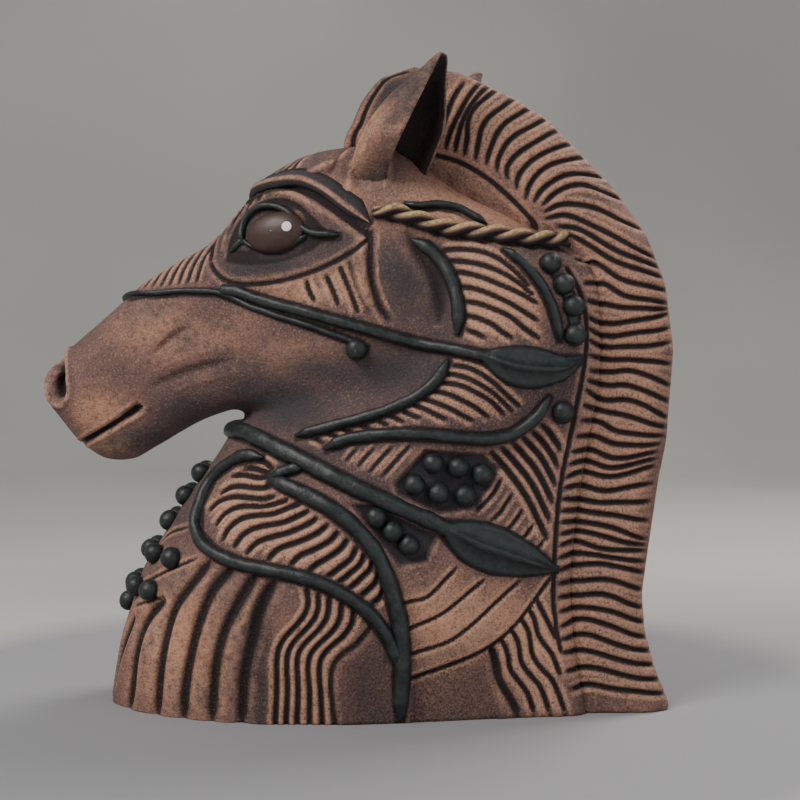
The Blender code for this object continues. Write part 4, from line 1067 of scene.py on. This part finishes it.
def swept_band(knots, width, rise, leaf=0.0, leaf_at_start=False, wander=0.05):
    """A rolled band along a curve on the skin: points, faces and how raised each point is."""
    path, out, across, run = rail(knots)
    left = run[-1] - run
    if leaf_at_start or not leaf:
        left = np.minimum(left, run)
    slow, quick, rolling = np.sin(np.outer(WANDERS, run) + [[width * 40], [rise * 9], [width * 17]])
    half = width * BAND_WIDTH / 2 * (1 + wander * slow + wander * 0.6 * quick)
    top = rise * BAND_RISE * (1 + wander * rolling)
    leafy = np.zeros(len(run))
    if leaf:
        share = np.clip(1 - left / (leaf * LEAF_LENGTH), 0, 1)
        swell = np.sin(np.pi * share ** 0.8) ** 0.85 * leaf * LEAF_WIDTH / 2
        half = np.where(share > 0, np.maximum(np.maximum(half * (1 - share), swell), LEAF_TIP / 2), half)
        leafy = eased(share, 0.0, 0.22)
        full = LEAF_RISE * np.minimum(half / (LEAF_WIDTH / 4), 1.0)
        top = top * (1 - leafy) + full * leafy
    else:
        half *= np.clip(left / (width * BAND_TAPER), 0.04, 1) ** 0.6
        top *= np.clip(left / (width * BAND_TAPER), 0.08, 1) ** 0.6
    sides = LEAF_SIDES if leaf else BAND_SIDES
    turn = np.linspace(math.pi, 0, sides - 2)
    across_share = np.sign(np.cos(turn)) * np.abs(np.cos(turn)) ** 0.85
    round_height = np.sin(turn) ** 0.75
    height = round_height[None] * (1 - leafy[:, None]) + leaf_height(across_share)[None] * leafy[:, None]
    section_out = np.concatenate([across_share, (0.85, -0.85)])[None] * half[:, None]
    section_up = np.concatenate([height * top[:, None], np.full((len(run), 2), -BAND_ROOT)], axis=1)
    rings = path[:, None] + across[:, None] * section_out[..., None] + out[:, None] * section_up[..., None]
    raised = np.concatenate([height, np.zeros((len(run), 2))], axis=1)
    return rings.reshape(-1, 3), tube_faces(len(run), sides), raised.ravel()


def joined(name, *parts):
    """One mesh of made parts, with a mark per point: its height, on the browband height and painted light,
    on the eyes the painted glint.
    """
    points, faces, raised, start = [], [], [], 0
    for part_points, part_faces, part_raised in parts:
        points.append(part_points)
        raised.append(part_raised)
        faces += [tuple(k + start for k in face) for face in part_faces]
        start += len(part_points)
    mesh = bpy.data.meshes.new(name)
    mesh.from_pydata(np.vstack(points).tolist(), [], faces)
    shape = bmesh.new()
    shape.from_mesh(mesh)
    bmesh.ops.recalc_face_normals(shape, faces=shape.faces)
    shape.to_mesh(mesh)
    shape.free()
    paint(mesh, raised=np.concatenate(raised))
    mesh.shade_smooth()
    return mesh


black_slip, tint, shader = new_material("black_slip")
raised = tint.painted("raised")
brushed = tint.noise(0.004, 4.0, 0.6)
speck = tint.noise(0.0012, 3.0, 0.6)
slip = tint.colour(0.020, 0.029, 0.029)
deep_slip = tint.colour(0.007, 0.010, 0.011)
worn_slip = tint.colour(0.085, 0.082, 0.075)
colour = slip.over(deep_slip, brushed.between(0.35, 0.7))
worn = raised.between(0.88, 1.0) * speck.between(0.50, 0.70)
colour = worn_slip.over(colour, worn * 0.30)
lay(shader, "Base Color", colour)
lay(shader, "Roughness", 0.34 + brushed * 0.25)
lay(shader, "Specular IOR Level", 0.50)
lay(shader, "Normal", bumped(tint, brushed + speck * 0.35, 0.0005))


def slipped(node, made_as, *parts):
    """A piece painted with black slip, joined from the parts, that stands for one of the frame's nodes."""
    piece_from(joined(f"{node}_{made_as}", *parts), black_slip, "black_slip", node)


for side, hand in SIDES:
    for name, width, rise, leaf, route in BANDS:
        slipped(f"{name}_{hand}", "coil", swept_band(on_flank(route, side), width, rise, leaf))
    parts = [swept_band(on_flank(route, side), width, rise) for width, rise, route in BREAST_PARTS]
    slipped(f"breast_band_{hand}", "coil", *parts)

for name, front, route, width, rise, leaf in (
    ("throat_strap", THROAT_FRONT, THROAT_ROUTE, 1.2, 1.2, 1.0),
    ("nose_cord", NOSE_TOP, NOSE_ROUTE, 0.40, 0.6, 0.0),
):
    middle_x, middle_z = metres(front)
    middle = tuple(formed_skin.find_nearest(Vector((middle_x, 0, middle_z)))[0])
    knots = on_flank(route, -1)[::-1] + [middle] + on_flank(route, 1)
    slipped(name, "coil", swept_band(knots, width, rise, leaf, leaf_at_start=True))


# The berries: balls of clay rolled between the palms, pressed on in rows and clusters, and painted with the
# same black slip as the bands.
BERRY_RADIUS = 0.0065
BERRY_LIFT = 0.35
BERRY_AROUND = 28
BERRY_DOWN = 16
NAPE_BERRIES = ((809, 682), (829, 652), (844, 620), (846, 578))
PANEL_BERRIES = (
    ("upper", ((636, 388), (673, 381), (709, 370), (608, 356), (644, 343), (683, 339))),
    ("lower", ((552, 309), (576, 288), (600, 267))),
)
PANEL_FLOOR_LIFT = 0.0008
STUDS = (("nape_stud", (829, 464)), ("cheek_stud", (518, 556)))
STUD_FLAT = 0.8


def ball(around, down):
    """The directions from a ball's middle to its points, ring by ring, with the tilt and turn of each."""
    tilt, turn = np.meshgrid(
        np.linspace(0, math.pi, down + 1), np.arange(around) * 2 * math.pi / around, indexing="ij")
    way = np.stack([np.sin(tilt) * np.cos(turn), np.sin(tilt) * np.sin(turn), np.cos(tilt)], axis=-1)
    return way.reshape(-1, 3), tilt.ravel(), turn.ravel()


def berry_ball(point, normal, number, flat=0.94):
    """A slightly uneven ball pressed on the skin. The number makes its dents its own."""
    way, tilt, turn = ball(BERRY_AROUND, BERRY_DOWN)
    dent = 1 + 0.02 * np.sin(3 * turn + number) * np.sin(tilt) + 0.015 * np.cos(2 * tilt + number)
    normal = Vector(normal).normalized()
    upright = np.array(normal.to_track_quat("Z", "Y").to_matrix())
    centre = np.array(point) + np.array(normal) * BERRY_RADIUS * BERRY_LIFT
    points = centre + (way * (1, 1, flat) * BERRY_RADIUS * dent[:, None]) @ upright.T
    return points, tube_faces(BERRY_DOWN + 1, BERRY_AROUND), 0.5 + 0.45 * np.cos(tilt)


def berries_at(places, side, sunk=0.0):
    """Balls at places in side view, pressed on the skin of one flank."""
    for number, spot in enumerate(on_flank(places, side)):
        point, normal, _, _ = formed_skin.find_nearest(Vector(spot))
        yield berry_ball(point - normal * sunk, normal, number)


chest_berries = [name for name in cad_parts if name.startswith("chest_berry")]
for number, name in enumerate(chest_berries, 1):
    low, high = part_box(name)
    point, normal, _, _ = formed_skin.find_nearest((low + high) / 2)
    slipped(name, "ball", berry_ball(point, normal, number))
for side, hand in SIDES:
    for name, place in STUDS:
        point, normal, _, _ = formed_skin.find_nearest(Vector(on_flank((place,), side)[0]))
        slipped(f"{name}_{hand}", "ball", berry_ball(point, normal, len(chest_berries), STUD_FLAT))
    string = swept_band(on_flank(NAPE_BERRIES, side), 0.8, 0.3)
    slipped(f"nape_berries_{hand}", "balls", string, *berries_at(NAPE_BERRIES, side))
    for name, places in PANEL_BERRIES:
        balls = berries_at(places, side, SUNK_DEPTH - PANEL_FLOOR_LIFT)
        slipped(f"berry_panel_{name}_{hand}", "balls", *balls)


# The eyes: balls of clay under a soft brown glaze with a painted white glint, held by thin black lids. A
# raised brow of washed clay is luted on above each.
EYE_AROUND = 96
EYE_DOWN = 64
GLINT_PLACE = (0.0080, 0.0032)
GLINT_RADIUS = 0.0030
EYELID_PARTS = (
    # width, rise, route: the upper lid with its tail, the lower lid and the inner corner
    (0.50, 0.80, ((338, 712), (336, 730), (341, 748), (352, 762), (371, 770), (394, 769), (414, 760),
                  (427, 746), (440, 733), (456, 727), (490, 726))),
    (0.34, 0.70, ((337, 722), (348, 711), (369, 703), (394, 701), (418, 708), (443, 727))),
    (0.42, 0.60, ((341, 726), (331, 713), (316, 701))),
)
LID_WANDER = 0.03
BROW_UP = 0.0095
BROW_DOWN = 0.0032
BROW_RISE = 0.0046
BROW_STEPS = 20
BROW_TAPER = 0.012
BROW_ROUTE = ((338, 783), (382, 803), (425, 807), (463, 793), (500, 767), (538, 743))

brown_glaze, tint, shader = new_material("brown_glaze")
fleck = tint.noise(0.003, 3.0)
# The painted white glint, kept in the same layer as the bands' heights
spot = tint.painted("raised")
chestnut = tint.colour(0.060, 0.027, 0.018)
umber = tint.colour(0.034, 0.017, 0.014)
white = tint.colour(0.75, 0.75, 0.72)
colour = white.over(chestnut.over(umber, fleck.between(0.3, 0.7)), spot.between(0.5, 0.7))
lay(shader, "Base Color", colour)
lay(shader, "Roughness", 0.50)
lay(shader, "Coat Weight", 0.06)
lay(shader, "Coat Roughness", 0.16)

for side, hand in SIDES:
    seen = points_of(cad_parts[f"eye_{hand}"].data)
    centre = (seen.max(axis=0) + seen.min(axis=0)) / 2
    _, axes = np.linalg.eigh(np.cov((seen - centre).T))
    axes = axes.T[::-1]
    radii = [np.abs((seen - centre) @ axis).max() for axis in axes]
    rows = centre + (ball(EYE_AROUND, EYE_DOWN)[0] * radii) @ axes
    apart = np.hypot(rows[:, 0] - centre[0] - GLINT_PLACE[0], rows[:, 2] - centre[2] - GLINT_PLACE[1])
    facing_out = (rows[:, 1] - centre[1]) * side > 0
    marks = np.where(facing_out, 1 - eased(apart, GLINT_RADIUS * 0.85, GLINT_RADIUS * 1.15), 0.0)
    mesh = joined(f"eye_{hand}_ball", (rows, tube_faces(EYE_DOWN + 1, EYE_AROUND), marks))
    piece_from(mesh, brown_glaze, "brown_glaze", f"eye_{hand}")
    lids = []
    for width, rise, route in EYELID_PARTS:
        lids.append(swept_band(on_flank(route, side), width, rise, wander=LID_WANDER))
    slipped(f"eyelids_{hand}", "coil", *lids)
    path, out, across, run = rail(on_flank(BROW_ROUTE, side))
    upward = across * np.sign(across[:, 2:3])
    ends = np.clip(np.minimum(run, run[-1] - run) / BROW_TAPER, 0.05, 1)[:, None] ** 0.7
    share = np.linspace(-1, 1, BROW_STEPS)
    spread = np.where(share < 0, share * BROW_DOWN, share * BROW_UP)
    height = np.where(share < 0, np.cos(np.pi / 2 * share) ** 0.6, np.cos(np.pi / 2 * share) ** 1.6)
    rings = (path[:, None] + upward[:, None] * (spread * ends)[..., None]
             + out[:, None] * (height * BROW_RISE * ends)[..., None])
    feet = upward[:, None] * np.array((BROW_UP, -BROW_DOWN))[:, None] / 2
    root = path[:, None] - out[:, None] * BAND_ROOT + feet
    points = np.concatenate([rings, root], axis=1).reshape(-1, 3)
    height = np.tile(np.concatenate([height, (0.0, 0.0)]), len(run))
    brow = joined(f"brow_{hand}_ridge", (points, tube_faces(len(run), BROW_STEPS + 2), height))
    # Painted shade along the brow's foot; its crest lighter and redder, with a painted highlight
    paint(brow, ink=0.0, rib=0.0, rough=0.0, pit=1 - eased(height, 0.0, 0.4))
    paint(brow, smoke=1 - eased(height, 0.75, 1.0) * 0.7, blush=eased(height, 0.85, 1.0) * 0.6)
    paint(brow, edge=eased(height, 0.88, 1.0) * 0.5)
    piece_from(brow, terracotta, "terracotta", f"brow_{hand}")


# The browband: two coils of clay twisted together and luted on below the ear, dark with painted shade in
# the recesses and under the strands, and dry-brushed with ochre slip on top, where a painted highlight lies
# too.
ROPE_DIAMETER = 0.011
ROPE_TURNS = 4.5
ROPE_LIFT = 0.55
ROPE_SPACING = 0.0007
STRAND_SHARE = 0.56
STRAND_SIDES = 14
ROPE_ROUTE = (
    (544, 758), (571, 758), (598, 751), (643, 736), (689, 728), (734, 722), (779, 716), (816, 714),
    (846, 705),
)

ochre_slip, tint, shader = new_material("ochre_slip")
raised = tint.painted("raised")
dry = tint.noise(0.0022, 4.0, 0.6)
bare = tint.colour(0.22, 0.130, 0.085)
dark_wash = tint.colour(0.060, 0.038, 0.038)
ochre = tint.colour(0.56, 0.40, 0.19)
recess = tint.colour(0.020, 0.014, 0.016)
# Painted shade in the recesses and under the strands; ochre, with a painted highlight, on their tops
colour = bare.over(dark_wash, raised.between(0.10, 0.60))
colour = ochre.over(colour, raised.between(0.62, 1.0) * dry.between(0.36, 0.56) * 0.9)
colour = recess.over(colour, raised.between(0.10, 0.0) * 0.9)
lay(shader, "Base Color", colour)
lay(shader, "Roughness", 0.78)
lay(shader, "Specular IOR Level", 0.3)
lay(shader, "Normal", bumped(tint, dry, 0.0005))

for side, hand in SIDES:
    path, out, across, run = rail(on_flank(ROPE_ROUTE, side), ROPE_SPACING)
    left = np.minimum(run, run[-1] - run)
    full = ROPE_DIAMETER / 2 * np.minimum(0.60 + 0.40 * left / ROPE_DIAMETER, 1.0)
    strand = full * STRAND_SHARE
    centre = path + out * (full * ROPE_LIFT)[:, None]
    strands = []
    for start in (0.0, math.pi):
        turn = start + 2 * math.pi * ROPE_TURNS * run / run[-1]
        swing = across * np.cos(turn)[:, None] + out * np.sin(turn)[:, None]
        middle = centre + swing * (full - strand)[:, None]
        run_way = unit(np.gradient(middle, axis=0))
        beside = unit(np.cross(run_way, out))
        above = np.cross(beside, run_way)
        angles = np.linspace(0, 2 * math.pi, STRAND_SIDES, endpoint=False)[:, None]
        ring = beside[:, None] * np.cos(angles) + above[:, None] * np.sin(angles)
        points = middle[:, None] + ring * strand[:, None, None]
        # How far each point faces out and up: tops that face up take a painted highlight, parts that face
        # down painted shade
        lit = (ring * out[:, None]).sum(axis=2) * 0.62 + ring[..., 2] * 0.72
        reach = np.linalg.norm(points - centre[:, None], axis=2) / full[:, None]
        reach = eased(reach, 0.50, 0.82) * eased(lit, 0.15, 0.90)
        strands.append((points.reshape(-1, 3), tube_faces(len(run), STRAND_SIDES), reach.ravel()))
    mesh = joined(f"browband_{hand}_twist", *strands)
    piece_from(mesh, ochre_slip, "ochre_slip", f"browband_{hand}")
